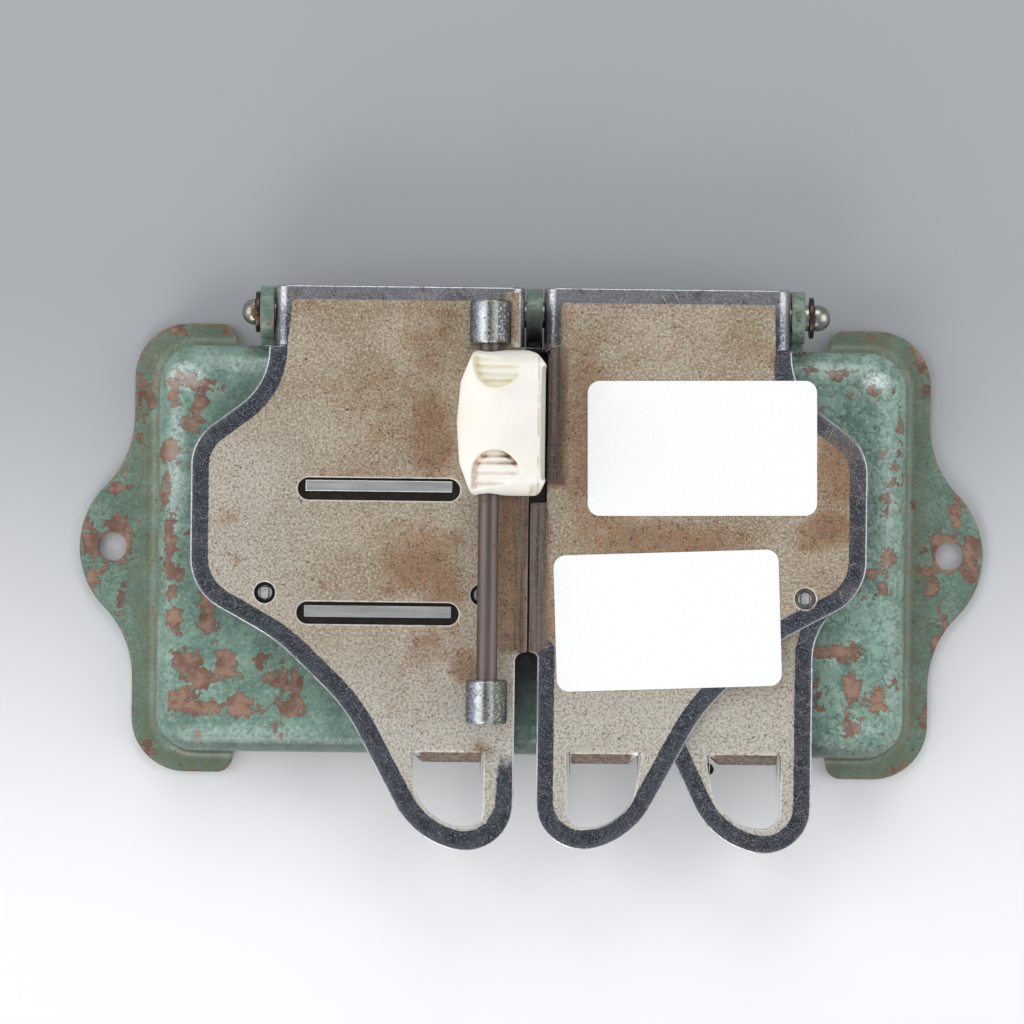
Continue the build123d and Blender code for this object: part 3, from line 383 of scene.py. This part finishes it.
rod_steel = steel("drawn steel", rgb(176, 174, 166), 0.30, 0.38, (0.06, 1.0, 1.0))
spring_steel = steel("tempered steel", rgb(84, 74, 68), 0.35, 0.40)
rivet_steel = steel("rivet steel", rgb(200, 198, 194), 0.32, 0.30)
pin_steel = steel("hardened steel", rgb(246, 246, 246), 0.34, 0.12)
dark_steel = steel("blackened steel", rgb(52, 50, 52), 0.4, 0.25)
for name, material, slot in (
    ("hinge_rod", rod_steel, "rod_steel"), ("retaining_clip_left", spring_steel, "spring_steel"),
    ("retaining_clip_right", spring_steel, "spring_steel"), ("hinge_bracket_rivets", rivet_steel, "rivet_steel"),
    ("left_plate_rivets", rivet_steel, "rivet_steel"), ("left_plate_spacers", rivet_steel, "rivet_steel"),
    ("rest_pads_right", rivet_steel, "rivet_steel"), ("left_film_pins", pin_steel, "hardened_steel"),
):
    seat(finish_of(name, 0.08 * MM), "base", slot, material, name)
seat(finish_of("right_film_pins", 0.06 * MM), "hinged_bed", "hardened_steel", pin_steel, "right_film_pins")
seat(finish_of("lower_plate_stop", 0.1 * MM), "hinged_bed", "blackened_steel", dark_steel, "lower_plate_stop")


# ---- Clamp plates and beds
# Blanked and bent from steel sheet. Their tops were polished all over and then satin-etched inside a masked
# border, which leaves a bright dark-looking rim. Rust has speckled the satin, most of all beside the seam.


def rounded_ring(corners, facets=10):
    """Points of a closed outline of (x, y, corner radius), in millimetres."""
    ring = []
    for i, (x, y, r) in enumerate(corners):
        here = Vector((x, y))
        back = (Vector(corners[i - 1][:2]) - here).normalized()
        ahead = (Vector(corners[(i + 1) % len(corners)][:2]) - here).normalized()
        half = acos(max(-1.0, min(1.0, back.dot(ahead)))) / 2
        if r < 0.05 or half > radians(89):
            ring.append(here)
            continue
        centre = here + (back + ahead).normalized() * (r / sin(half))
        first, last = here + back * (r / tan(half)) - centre, here + ahead * (r / tan(half)) - centre
        sweep = atan2(first.x * last.y - first.y * last.x, first.dot(last))
        for n in range(facets + 1):
            ring.append(centre + Matrix.Rotation(sweep * n / facets, 2) @ first)
    return ring


def inset(corners, margins):
    """Corners moved inwards by each edge's margin; margins[i] belongs to the edge that leaves corner i."""
    area = sum(a[0] * b[1] - b[0] * a[1] for a, b in zip(corners, corners[1:] + corners[:1]))
    side = 1 if area > 0 else -1
    moved = []
    for i, (x, y, r) in enumerate(corners):
        here = Vector((x, y))
        into = (here - Vector(corners[i - 1][:2])).normalized()
        away = (Vector(corners[(i + 1) % len(corners)][:2]) - here).normalized()
        into_side, away_side = Vector((-into.y, into.x)) * side, Vector((-away.y, away.x)) * side
        before, after = margins[i - 1], margins[i]
        turn = into.x * away.y - into.y * away.x
        if abs(turn) < 0.02:
            moved += [(*(here + into_side * before), 0), (*(here + away_side * after), 0)]
            continue
        a, b = here + into_side * before, here + away_side * after
        reach = ((b - a).x * away.y - (b - a).y * away.x) / turn
        convex = turn * side > 0
        margin = (before + after) / 2
        moved.append((*(a + into * reach), max(r - margin, 0.4) if convex else (r + margin if r else 0)))
    return moved


def depth_in(point, ring):
    """How far a point lies inside a ring; negative outside it."""
    nearest, inside = 1e9, False
    for a, b in zip(ring, ring[1:] + ring[:1]):
        span = b - a
        along = max(0.0, min(1.0, (point - a).dot(span) / span.length_squared)) if span.length_squared else 0.0
        nearest = min(nearest, (a + span * along - point).length)
        if (a.y > point.y) != (b.y > point.y) and point.x < a.x + (point.y - a.y) / (b.y - a.y) * (b.x - a.x):
            inside = not inside
    return nearest if inside else -nearest


def plate(node, satin_corners, top, stains, lip):
    """A plate from its CAD shape: 'satin' is each point's depth inside the etched area, a second value its rust
    together with painted shade on the finger-loop lip and beside the seam, and 'edge' its bevels, where a highlight
    is painted. The lip of its finger loop reaches from lip[0] to lip[1] along X."""
    piece = finish_of(node, 0.26 * MM, 32, 3, False)
    gridded(piece, node, 1.1 * MM)
    ring = rounded_ring(satin_corners)
    left_side = node.startswith("left")

    def on_lip(point):
        return lip[0] < point.x < lip[1] and -31.5 < point.y < -28.0 and point.z < top - 0.02

    def satin_at(point):
        if on_lip(point) and point.z < top - 0.2:
            return 3.0
        if point.z < top - 0.32:
            return -3.0
        near_seam = left_side and point.x > -6.5 and point.y < (36.6 if point.x > -4.0 else 33.0)
        fading = (point.y + 30.0) * 0.07 if near_seam else -3.0
        return max(depth_in(point.xy, ring), fading)

    def stain_and_shade_at(point):
        beside_seam = max((level for x0, x1, y0, y1, level in seam_bands if x0 < point.x < x1 and y0 < point.y < y1),
                          default=0.0)
        # the finger-loop lip is darkened as painted shade
        lip_shade = 1.5 if on_lip(point) and point.z < top - 0.2 else 0.0
        return max(spot_level(point, stains), beside_seam, lip_shade)

    def edge_at(point):
        return 0.0 if on_lip(point) or point.z < top - 0.5 else min(1.0, max(0.0, (top - 0.01 - point.z) / 0.07))

    paint_on(piece, "satin", satin_at)
    paint_on(piece, "stain_and_shade", stain_and_shade_at)
    paint_on(piece, "edge", edge_at)
    return piece


left_corners = [
    (-36.5, 37.3, 0), (-37.3, 28.7, 0), (-37.3, 23.3, 10), (-48.1, 15.3, 7), (-48.1, -6.0, 8),
    (-35.75, -12.85, 25), (-26.05, -22.25, 25), (-16.2, -40.65, 12.5), (-2.15, -44.2, 6.9), (-2.15, 37.3, 0),
]
left_margins = [2.6, 2.6, 2.5, 2.5, 2.5, 2.6, 2.7, 2.8, 2.7, 2.0]
right_corners = [
    (36.15, 37.3, 0), (36.4, 28.7, 0), (36.4, 23.1, 10), (47.25, 15.0, 7), (47.25, -5.6, 8), (34.05, -12.65, 25),
    (24.3, -22.35, 25), (14.7, -40.25, 12.5), (1.0, -43.8, 6.6), (1.0, -15.0, 0), (-0.2, -15.0, 0), (-0.2, 12.5, 0),
    (1.5, 12.5, -1.5), (1.5, 37.3, 0),
]
right_margins = [2.3, 2.5, 2.5, 2.5, 2.5, 2.5, 2.6, 2.8, 2.4, 2.4, 2.4, 2.4, 2.3, 2.1]
bed_corners = [
    (34.4, 31.2, 0), (34.4, 22.4, 4), (44.4, 14.6, 4), (44.4, -6.55, 3), (39.9, -10.5, 9.3), (39.9, -44.2, 6.7),
    (25.7, -40.55, 12), (18.5, -25.15, 18), (6.2, -13.3, 3), (2.2, -13.3, 0), (2.2, 31.2, 0),
]
# beside the seam the plates are browned evenly by rust, with a painted shadow of the scraper handle and rod laid
# over it: bands of (x from, x to, y from, y to, strength)
seam_bands = [(-2.7, 2.1, -14.3, 10.0, 1.25), (-5.0, -2.7, -14.3, 28.0, 0.8), (1.2, 4.2, 9.0, 29.5, 1.3)]
# left plate rust as (x, y, half width, half height, strength); (-6.9, -28.4) is painted shadow under the front bracket
left_stains_and_shadow = [
    (-14.2, 17.0, 4.4, 9.9, 0.85), (-15.3, 28.3, 5.2, 8.5, 0.6), (-13.3, 31.1, 4.4, 6.3, 0.5),
    (-21.6, 21.2, 9.9, 8.5, 0.45), (-27.1, 11.2, 8.5, 4.9, 0.3), (-15.7, -1.3, 7.3, 6.6, 0.8),
    (-12.8, -4.8, 4.5, 6.6, 0.8), (-20.0, 2.2, 4.9, 2.8, 0.4), (-43.2, 4.0, 3.1, 1.7, 0.45),
    (-41.5, -1.2, 1.7, 1.7, 0.45), (-29.4, -5.0, 1.1, 0.8, 0.8), (-20.1, -5.6, 1.3, 1.1, 0.8),
    (-10.8, 1.6, 1.7, 1.7, 0.8), (-9.4, -16.4, 2.5, 3.4, 1.0), (-14.1, -14.0, 5.4, 4.5, 0.55),
    (-16.9, -21.0, 6.3, 5.6, 0.35), (-6.9, -28.4, 2.6, 2.0, 0.7), (-14.7, 36.3, 5.6, 1.4, 0.6),
    (-31.6, 34.4, 5.6, 2.0, 0.35), (-2.0, 33.5, 1.6, 6.0, 0.8), (-37.0, 30.0, 1.0, 4.0, 0.3),
]
right_stains = [
    (22.0, 29.4, 18.3, 5.6, 0.2), (8.0, 15.3, 4.4, 20.3, 0.75), (18.1, 1.9, 16.1, 4.2, 0.85),
    (9.6, 4.6, 6.3, 4.9, 0.6), (43.7, 15.3, 5.4, 10.9, 1.0), (41.7, 3.6, 5.5, 3.6, 0.95),
    (39.5, 1.5, 2.3, 1.7, 1.0), (44.9, -5.5, 3.7, 2.3, 0.8), (34.0, 27.2, 1.4, 2.0, 1.0),
    (31.8, 37.0, 5.6, 1.4, 0.6), (3.1, -8.8, 1.4, 4.9, 0.7), (9.2, 35.6, 4.2, 1.4, 0.4),
    (45.5, 7.9, 2.8, 4.2, 0.6), (36.0, 33.0, 1.6, 4.5, 0.7), (4.0, 32.0, 2.4, 5.0, 0.6),
]
bed_stains = [(30.0, -27.0, 14.0, 14.0, 0.1), (39.4, -24.0, 3.2, 22.0, 0.35), (30.0, -43.0, 12.0, 3.5, 0.45)]


def warped_place(tree, place):
    """Coordinates pushed about a little, so that round spots in them turn ragged."""
    drift = put(tree, "TexNoise", {"Vector": place, "Scale": 3000.0, "Detail": 2.0}).outputs[1]
    return put(tree, "VectorMath", {0: drift, 1: (0.0006, 0.0006, 0.0006), 2: place},
               operation="MULTIPLY_ADD").outputs[0]


def plate_steel(name):
    """Sheet steel: polished scratched rim tinted as a painted reflection, etched satin inside it, rust speckle and
    clouds where it is stained, painted shade on its lips and beside the seam, and painted highlights on its edges.
    """
    material, tree, shader, place = new_material(name, 1.0, 0.4)
    at = put(tree, "SeparateXYZ", {0: place}).outputs
    stain_and_shade = painted(tree, "stain_and_shade")
    wander = noise(tree, place, 1400.0, 2.0)
    satin = step(tree, maths(tree, "MULTIPLY_ADD", wander, 0.25, painted(tree, "satin")), 0.05, 0.25)
    # etched satin: tan at the back, pale grey at the front, with a fine grain and small dark pits
    tone = noise(tree, place, 75.0, 5.0, 0.65)
    grain = noise(tree, place, 2700.0, 5.0, 0.75)
    etched = mix(tree, step(tree, tone, 0.36, 0.64), rgb(184, 170, 148), rgb(160, 142, 117))
    paler = maths(tree, "MULTIPLY", step(tree, at["X"], -22 * MM, -40 * MM), step(tree, at["Y"], 24 * MM, 12 * MM))
    paler = maths(tree, "MAXIMUM", maths(tree, "MULTIPLY", paler, 0.6), step(tree, at["Y"], -6 * MM, -26 * MM))
    etched = mix(tree, paler, etched, rgb(200, 195, 183))
    etched = mix(tree, maths(tree, "MULTIPLY", step(tree, grain, 0.50, 0.58), 0.6), etched, rgb(118, 102, 82))
    etched = mix(tree, maths(tree, "MULTIPLY", step(tree, grain, 0.48, 0.39), 0.6), etched, rgb(218, 212, 197))
    pits = effect(tree, pitting, {"Place": place, "Count": 420.0, "Share": 0.10, "Radius": 0.11})["Mask"]
    etched = mix(tree, maths(tree, "MULTIPLY", pits, 0.75), etched, rgb(84, 66, 54))
    # polished rim: its dark blue-grey tone, darkest beside the satin, is a painted reflection of dark surroundings;
    # light specks and hair scratches lie on it, and it is paler along the back edge as a painted reflection
    cloud = noise(tree, place, 420.0, 5.0, 0.7)
    rim = mix(tree, step(tree, cloud, 0.35, 0.68), rgb(76, 81, 89), rgb(104, 109, 117))
    rim = mix(tree, maths(tree, "MULTIPLY", step(tree, painted(tree, "satin"), -1.6, -2.5), 0.6), rim,
              rgb(136, 139, 147))
    back = step(tree, at["Y"], 32.5 * MM, 36.0 * MM)
    # painted reflection: the rim is paler along the back edge
    rim = mix(tree, maths(tree, "MULTIPLY", back, 0.8), rim, rgb(172, 172, 174))
    tarnish = effect(tree, patches, {"Place": place, "Size": 500.0, "Grain": 2600.0, "Cover": 0.47,
                                     "Edge": 0.10})["Mask"]
    rim = mix(tree, maths(tree, "MULTIPLY", tarnish, maths(tree, "MULTIPLY_ADD", back, 0.45, 0.15)), rim,
              rgb(112, 88, 76))
    flecks = step(tree, noise(tree, place, 4200.0, 4.0, 0.8), 0.54, 0.60)
    spots = effect(tree, pitting, {"Place": place, "Count": 3000.0, "Share": 0.30, "Radius": 0.34})["Mask"]
    busy = step(tree, cloud, 0.66, 0.36)
    scratches = None
    for angle, rare in ((0.4, 0.67), (1.2, 0.68), (2.1, 0.665), (2.8, 0.68)):
        turned = put(tree, "Mapping", {"Vector": place, "Rotation": (0, 0, angle), "Scale": (17.0, 1.0, 1.0)},
                     vector_type="TEXTURE")
        line = step(tree, noise(tree, turned.outputs[0], 5200.0, 2.0, 0.5), rare, rare + 0.04)
        scratches = maths(tree, "MAXIMUM", scratches, line) if scratches else line
    marks = maths(tree, "MAXIMUM", maths(tree, "MULTIPLY", flecks, 0.4), maths(tree, "MULTIPLY", scratches, 0.5))
    marks = maths(tree, "MAXIMUM", marks, maths(tree, "MULTIPLY", maths(tree, "MULTIPLY", spots, busy), 0.75))
    rim = mix(tree, maths(tree, "MULTIPLY", marks, maths(tree, "MULTIPLY_ADD", back, 0.6, 1.0)), rim,
              rgb(232, 233, 234))
    metal = mix(tree, satin, rim, etched)
    # rust: a soft brown film, dark at the seam and streaked along it, and dots that crowd where it is stained;
    # the dark film on the finger-loop lips and beside the seam is partly painted shade
    film = maths(tree, "MULTIPLY_ADD", maths(tree, "SUBTRACT", noise(tree, place, 260.0, 5.0, 0.65), 0.5), 1.1, stain_and_shade)
    haze = maths(tree, "MULTIPLY", step(tree, film, 0.05, 0.85), maths(tree, "MULTIPLY_ADD", satin, 0.54, 0.12))
    metal = mix(tree, haze, metal, rgb(144, 106, 72))
    dark = step(tree, film, 0.72, 1.25)
    drawn = put(tree, "Mapping", {"Vector": place, "Scale": (1.0, 0.03, 1.0)}).outputs[0]
    streaks = noise(tree, drawn, 1500.0, 3.0, 0.6)
    dark_rust_and_shade = mix(tree, step(tree, streaks, 0.40, 0.60), rgb(82, 68, 60), rgb(128, 111, 95))
    dark_rust_and_shade = mix(tree, maths(tree, "MULTIPLY", marks, 0.45), dark_rust_and_shade, rgb(196, 188, 180))
    metal = mix(tree, maths(tree, "MULTIPLY", dark, 0.88), metal, dark_rust_and_shade)
    crowded = step(tree, noise(tree, place, 520.0, 4.0, 0.7), 0.44, 0.62)
    share = maths(tree, "MULTIPLY", maths(tree, "MULTIPLY_ADD", step(tree, film, -0.1, 0.8), 0.95, 0.10),
                  maths(tree, "MULTIPLY_ADD", crowded, 0.75, 0.25))
    small = effect(tree, pitting, {"Place": warped_place(tree, place), "Count": 3500.0, "Share": share,
                                   "Radius": 0.48})["Mask"]
    big = effect(tree, pitting, {"Place": warped_place(tree, place), "Count": 1700.0,
                                 "Share": maths(tree, "MULTIPLY", share, 0.4), "Radius": 0.36})["Mask"]
    rust = mix(tree, step(tree, noise(tree, place, 900.0, 2.0), 0.45, 0.58), rgb(72, 54, 42), rgb(162, 98, 54))
    rusted = maths(tree, "MULTIPLY", maths(tree, "MAXIMUM", small, big), maths(tree, "MULTIPLY_ADD", satin, 0.6, 0.2))
    metal = mix(tree, rusted, metal, rust)
    # the bevelled edges carry a painted highlight, uneven along them
    edge = maths(tree, "MULTIPLY", painted(tree, "edge"), step(tree, at["Y"], 29.5 * MM, 28.0 * MM))
    uneven = step(tree, noise(tree, place, 500.0, 5.0, 0.7), 0.36, 0.50)
    edge = maths(tree, "MULTIPLY", edge, maths(tree, "MULTIPLY_ADD", uneven, 0.5, 0.35))
    edge = maths(tree, "MULTIPLY", edge, maths(tree, "MULTIPLY_ADD", dark, -0.9, 1.0))
    tree.links.new(mix(tree, edge, metal, rgb(240, 241, 242)), shader.inputs["Base Color"])
    rough = maths(tree, "MULTIPLY_ADD", satin, 0.20, 0.30)
    tree.links.new(maths(tree, "MULTIPLY_ADD", rusted, 0.3, rough), shader.inputs["Roughness"])
    matt = maths(tree, "MAXIMUM", rusted, maths(tree, "MAXIMUM", satin, step(tree, film, 0.3, 1.1)))
    matt = maths(tree, "MAXIMUM", matt, edge)
    tree.links.new(maths(tree, "MULTIPLY_ADD", matt, -0.65, 1.0), shader.inputs["Metallic"])
    relief = maths(tree, "MULTIPLY_ADD", grain, satin, maths(tree, "MULTIPLY", satin, -1.5))
    bump = put(tree, "Bump", {"Strength": 0.25, "Distance": 0.05 * MM, "Height": relief})
    tree.links.new(bump.outputs[0], shader.inputs["Normal"])
    return material


sheet_steel = plate_steel("plate steel")
seat(plate("left_upper_plate", inset(left_corners, left_margins), 13.3, left_stains_and_shadow, (-15.8, -6.4)), "left_clamp",
     "plate_steel", sheet_steel, "left_upper_plate")
seat(plate("right_upper_plate", inset(right_corners, right_margins), 13.3, right_stains, (5.3, 14.8)), "right_clamp",
     "plate_steel", sheet_steel, "right_upper_plate")
seat(plate("right_lower_plate", inset(bed_corners, [2.5] * len(bed_corners)), 11.8, bed_stains, (26.2, 35.6)),
     "hinged_bed", "plate_steel", sheet_steel, "right_lower_plate")
# the fixed bed's near-black steel tone is a painted shade for the slots and windows that show it
bed_steel_painted_dark = steel("bed steel darkened as painted shade", rgb(74, 68, 62), 0.45, 0.30)
seat(finish_of("left_lower_plate", 0.15 * MM), "base", "plate_steel", bed_steel_painted_dark, "left_lower_plate")
guide_steel = steel("guide steel", rgb(228, 227, 224), 0.36, 0.20, (0.1, 1.0, 1.0))
for name in ("left_guide_bar_rear", "left_guide_bar_front"):
    seat(finish_of(name, 0.15 * MM), "base", "plate_steel", guide_steel, name)
for name in ("right_guide_bar_rear", "right_guide_bar_front"):
    seat(finish_of(name, 0.15 * MM), "hinged_bed", "plate_steel", guide_steel, name)


# ---- Scraper rod and its brackets
# The rod stands in two chromed saddles riveted to the left clamp plate.
rod_along = steel("scraper rod steel", rgb(126, 114, 110), 0.5, 0.36, (1.0, 0.05, 1.0))
chrome, tree, shader, place = new_material("pitted chrome", 1.0, 0.2)
across = put(tree, "SeparateXYZ", {0: place}).outputs["X"]
# a painted reflection in bands across the brackets: blue at the left, bright in the middle and dull towards both ends
chrome_tone_and_reflection = mix(tree, step(tree, across, -9.1 * MM, -8.0 * MM), rgb(70, 76, 88), rgb(132, 140, 158))
chrome_tone_and_reflection = mix(tree, step(tree, across, -8.0 * MM, -7.0 * MM), chrome_tone_and_reflection, rgb(206, 208, 208))
chrome_tone_and_reflection = mix(tree, step(tree, across, -6.8 * MM, -6.3 * MM), chrome_tone_and_reflection, rgb(112, 114, 114))
chrome_tone_and_reflection = mix(tree, step(tree, across, -6.2 * MM, -5.6 * MM), chrome_tone_and_reflection, rgb(190, 192, 186))
chrome_tone_and_reflection = mix(tree, step(tree, across, -5.4 * MM, -4.9 * MM), chrome_tone_and_reflection, rgb(84, 86, 86))
film = step(tree, noise(tree, place, 700.0, 4.0, 0.7), 0.48, 0.62)
chrome_tone_and_reflection = mix(tree, maths(tree, "MULTIPLY", film, 0.4), chrome_tone_and_reflection, rgb(150, 150, 112))
blisters = step(tree, noise(tree, place, 2900.0, 4.0, 0.75), 0.52, 0.62)
chrome_tone_and_reflection = mix(tree, maths(tree, "MULTIPLY", blisters, 0.6), chrome_tone_and_reflection, rgb(222, 224, 226))
pits = effect(tree, pitting, {"Place": place, "Count": 1700.0, "Share": 0.4, "Radius": 0.32})["Mask"]
chrome_tone_and_reflection = mix(tree, maths(tree, "MULTIPLY", pits, 0.7), chrome_tone_and_reflection, rgb(62, 58, 58))
# a painted highlight along the brackets' edges
edge = effect(tree, edges, {"Width": 0.3 * MM})["Mask"]
tree.links.new(mix(tree, maths(tree, "MULTIPLY", edge, 0.7), chrome_tone_and_reflection, rgb(240, 241, 242)), shader.inputs["Base Color"])
tree.links.new(maths(tree, "MULTIPLY_ADD", film, 0.15, 0.42), shader.inputs["Roughness"])
bump = put(tree, "Bump", {"Strength": 0.15, "Distance": 0.02 * MM, "Height": blisters})
tree.links.new(bump.outputs[0], shader.inputs["Normal"])
seat(finish_of("scraper_rod", 0.1 * MM), "left_clamp", "rod_steel", rod_along, "scraper_rod")
for name in ("rod_bracket_rear", "rod_bracket_front"):
    seat(finish_of(name, 0.1 * MM), "left_clamp", "chrome", chrome, name)
seat(finish_of("scraper_carrier", 0.1 * MM), "scraper_slider", "rod_steel", rod_along, "scraper_carrier")
seat(finish_of("carrier_leaf_spring", 0.05 * MM), "scraper_slider", "spring_steel", spring_steel,
     "carrier_leaf_spring")


# ---- Scraper handle
# A cap moulded in ivory plastic. Brown grime has settled in the ribs of the front finger recess and along its
# arch, a fainter yellow one in the rear recess and down the right edge.
ivory, tree, shader, place = new_material("ivory plastic", 0.0, 0.3)
body_tone = mix(tree, step(tree, noise(tree, place, 120.0), 0.35, 0.7), rgb(247, 244, 235), rgb(242, 238, 224))
hollow = tree.nodes.new("ShaderNodeAmbientOcclusion")
hollow.samples, hollow.inputs["Distance"].default_value = 8, 0.9 * MM
at = put(tree, "SeparateXYZ", {0: place}).outputs
creases = step(tree, hollow.outputs["AO"], 0.98, 0.80)
front = maths(tree, "MULTIPLY", step(tree, at["Y"], 16.0 * MM, 13.5 * MM), step(tree, at["Z"], 17.0 * MM, 18.5 * MM))
rear = maths(tree, "MULTIPLY", step(tree, at["Y"], 21.5 * MM, 23.5 * MM), step(tree, at["Z"], 17.0 * MM, 18.5 * MM))
uneven = maths(tree, "MULTIPLY_ADD", step(tree, noise(tree, place, 500.0, 4.0), 0.35, 0.65), 0.7, 0.3)
body_tone = mix(tree, maths(tree, "MULTIPLY", maths(tree, "MULTIPLY", creases, rear), 0.5), body_tone,
                rgb(220, 206, 138))
body_tone = mix(tree, maths(tree, "MULTIPLY", maths(tree, "MULTIPLY", creases, front), uneven), body_tone,
                rgb(176, 124, 74))
corner = maths(tree, "MULTIPLY", step(tree, at["X"], -6.0 * MM, -3.4 * MM), step(tree, at["Y"], 11.2 * MM, 13.0 * MM))
body_tone = mix(tree, maths(tree, "MULTIPLY", maths(tree, "MULTIPLY", creases, front), corner), body_tone,
                rgb(96, 58, 38))
streak = step(tree, maths(tree, "ABSOLUTE", maths(tree, "SUBTRACT", at["X"], 0.75 * MM)), 0.22 * MM, 0.08 * MM)
patchy = step(tree, noise(tree, place, 420.0, 4.0), 0.46, 0.56)
body_tone = mix(tree, maths(tree, "MULTIPLY", maths(tree, "MULTIPLY", streak, patchy), 0.5), body_tone,
                rgb(186, 170, 104))
tree.links.new(body_tone, shader.inputs["Base Color"])
shader.inputs["Subsurface Weight"].default_value = 0.15
shader.inputs["Subsurface Radius"].default_value = (0.002, 0.0015, 0.001)
cap = finish_of("scraper_handle", 0.3 * MM, 30, 3)
cap.modifiers.clear()
moulded = cap.modifiers.new("moulded", "REMESH")
moulded.mode, moulded.voxel_size, moulded.use_smooth_shade = "VOXEL", 0.14 * MM, True
softened = cap.modifiers.new("softened", "SMOOTH")
softened.factor, softened.iterations = 0.5, 12
seat(cap, "scraper_cap", "ivory_plastic", ivory, "scraper_handle")
for name in ("scraper_blade", "blade_pin"):
    seat(finish_of(name, 0.04 * MM), "scraper_cap", "hardened_steel", rivet_steel, name)


# ---- Paper labels
# Two stiff white stickers with round corners on the right clamp plate, left blank.
paper, tree, shader, place = new_material("label paper", 0.0, 0.6)
fibre = put(tree, "TexNoise", {"Vector": place, "Scale": 2500.0, "Detail": 4.0}).outputs[0]
tree.links.new(mix(tree, step(tree, fibre, 0.3, 0.7), rgb(249, 249, 248), rgb(252, 252, 251)),
               shader.inputs["Base Color"])
bump = put(tree, "Bump", {"Strength": 0.1, "Distance": 0.02 * MM, "Height": fibre})
tree.links.new(bump.outputs[0], shader.inputs["Normal"])


def label(name, centre, size, turn, lift):
    """A sticker: a rounded rectangle of thick paper."""
    w, h = size[0] / 2, size[1] / 2
    ring = rounded_ring([(-w, -h, 1.7), (w, -h, 1.7), (w, h, 1.7), (-w, h, 1.7)], 8)
    made = bmesh.new()
    made.faces.new([made.verts.new((p.x * MM, p.y * MM, 0)) for p in ring])
    grown = bmesh.ops.extrude_face_region(made, geom=made.faces[:])
    bmesh.ops.translate(made, verts=[v for v in grown["geom"] if isinstance(v, bmesh.types.BMVert)],
                        vec=(0, 0, 0.16 * MM))
    bmesh.ops.recalc_face_normals(made, faces=made.faces)
    spot = Matrix.Translation(Vector((centre[0], centre[1], lift)) * MM) @ Matrix.Rotation(radians(turn), 4, "Z")
    bmesh.ops.transform(made, matrix=spot, verts=made.verts)
    mesh = bpy.data.meshes.new(name)
    made.to_mesh(mesh)
    made.free()
    piece = bpy.data.objects.new(name, mesh)
    bpy.context.scene.collection.objects.link(piece)
    piece.data.materials.append(paper)
    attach(piece, "right_clamp")


label("upper_label", (23.9, 14.9), (32.3, 19.0), 0.7, 13.3)
label("lower_label", (19.3, -9.42), (31.7, 19.2), 2.3, 13.3)

# ---- Floor, lights and camera
# A pale floor, greyer towards the back as painted shade, soft lamps on both sides, and the camera straight
# above at the photograph's distance.
made = bmesh.new()
bmesh.ops.create_grid(made, x_segments=1, y_segments=1, size=1.5)
bmesh.ops.translate(made, verts=made.verts, vec=(0, 0, -0.05 * MM))
mesh = bpy.data.meshes.new("floor")
made.to_mesh(mesh)
made.free()
floor = bpy.data.objects.new("floor", mesh)
bpy.context.scene.collection.objects.link(floor)
floor_with_painted_shade, tree, shader, place = new_material("pale floor with painted shade", 0.0, 0.9)
span = put(tree, "SeparateXYZ", {0: place}).outputs
# painted shade: the floor grades from grey behind the object to white in front
tree.links.new(mix(tree, step(tree, span["Y"], 42 * MM, -60 * MM), rgb(166, 169, 172), rgb(246, 246, 246)),
               shader.inputs["Base Color"])
floor.data.materials.append(floor_with_painted_shade)

world = bpy.data.worlds.new("studio")
bpy.context.scene.world = world
world.use_nodes = True
world.node_tree.nodes["Background"].inputs["Color"].default_value = (0.9, 0.93, 1.0, 1.0)
world.node_tree.nodes["Background"].inputs["Strength"].default_value = 0.40


def lamp(name, place, size, power):
    """A square soft lamp that faces the object."""
    light = bpy.data.lights.new(name, "AREA")
    light.size, light.energy = size, power
    holder = bpy.data.objects.new(name, light)
    holder.location = place
    holder.rotation_euler = (-Vector(place)).to_track_quat("-Z", "Y").to_euler()
    bpy.context.scene.collection.objects.link(holder)


lamp("left window", (-0.58, 0.1, 0.42), 0.6, 2.1)
lamp("right window", (0.62, 0.05, 0.38), 0.6, 2.0)
lamp("rear window", (0.0, 0.7, 0.5), 0.5, 2.0)
lamp("front window", (-0.25, -0.70, 0.38), 0.45, 3.1)

camera = bpy.data.objects.new("camera", bpy.data.cameras.new("camera"))
camera.data.lens = 175.0
camera.data.sensor_width = 36.0
camera.data.clip_start = 0.01
camera.location = (-2.81 * MM, 5.62 * MM, 714.5 * MM)
camera.rotation_euler = (0, 0, 0.0119)
bpy.context.scene.collection.objects.link(camera)
bpy.context.scene.camera = camera
bpy.context.scene.view_settings.view_transform = "Standard"
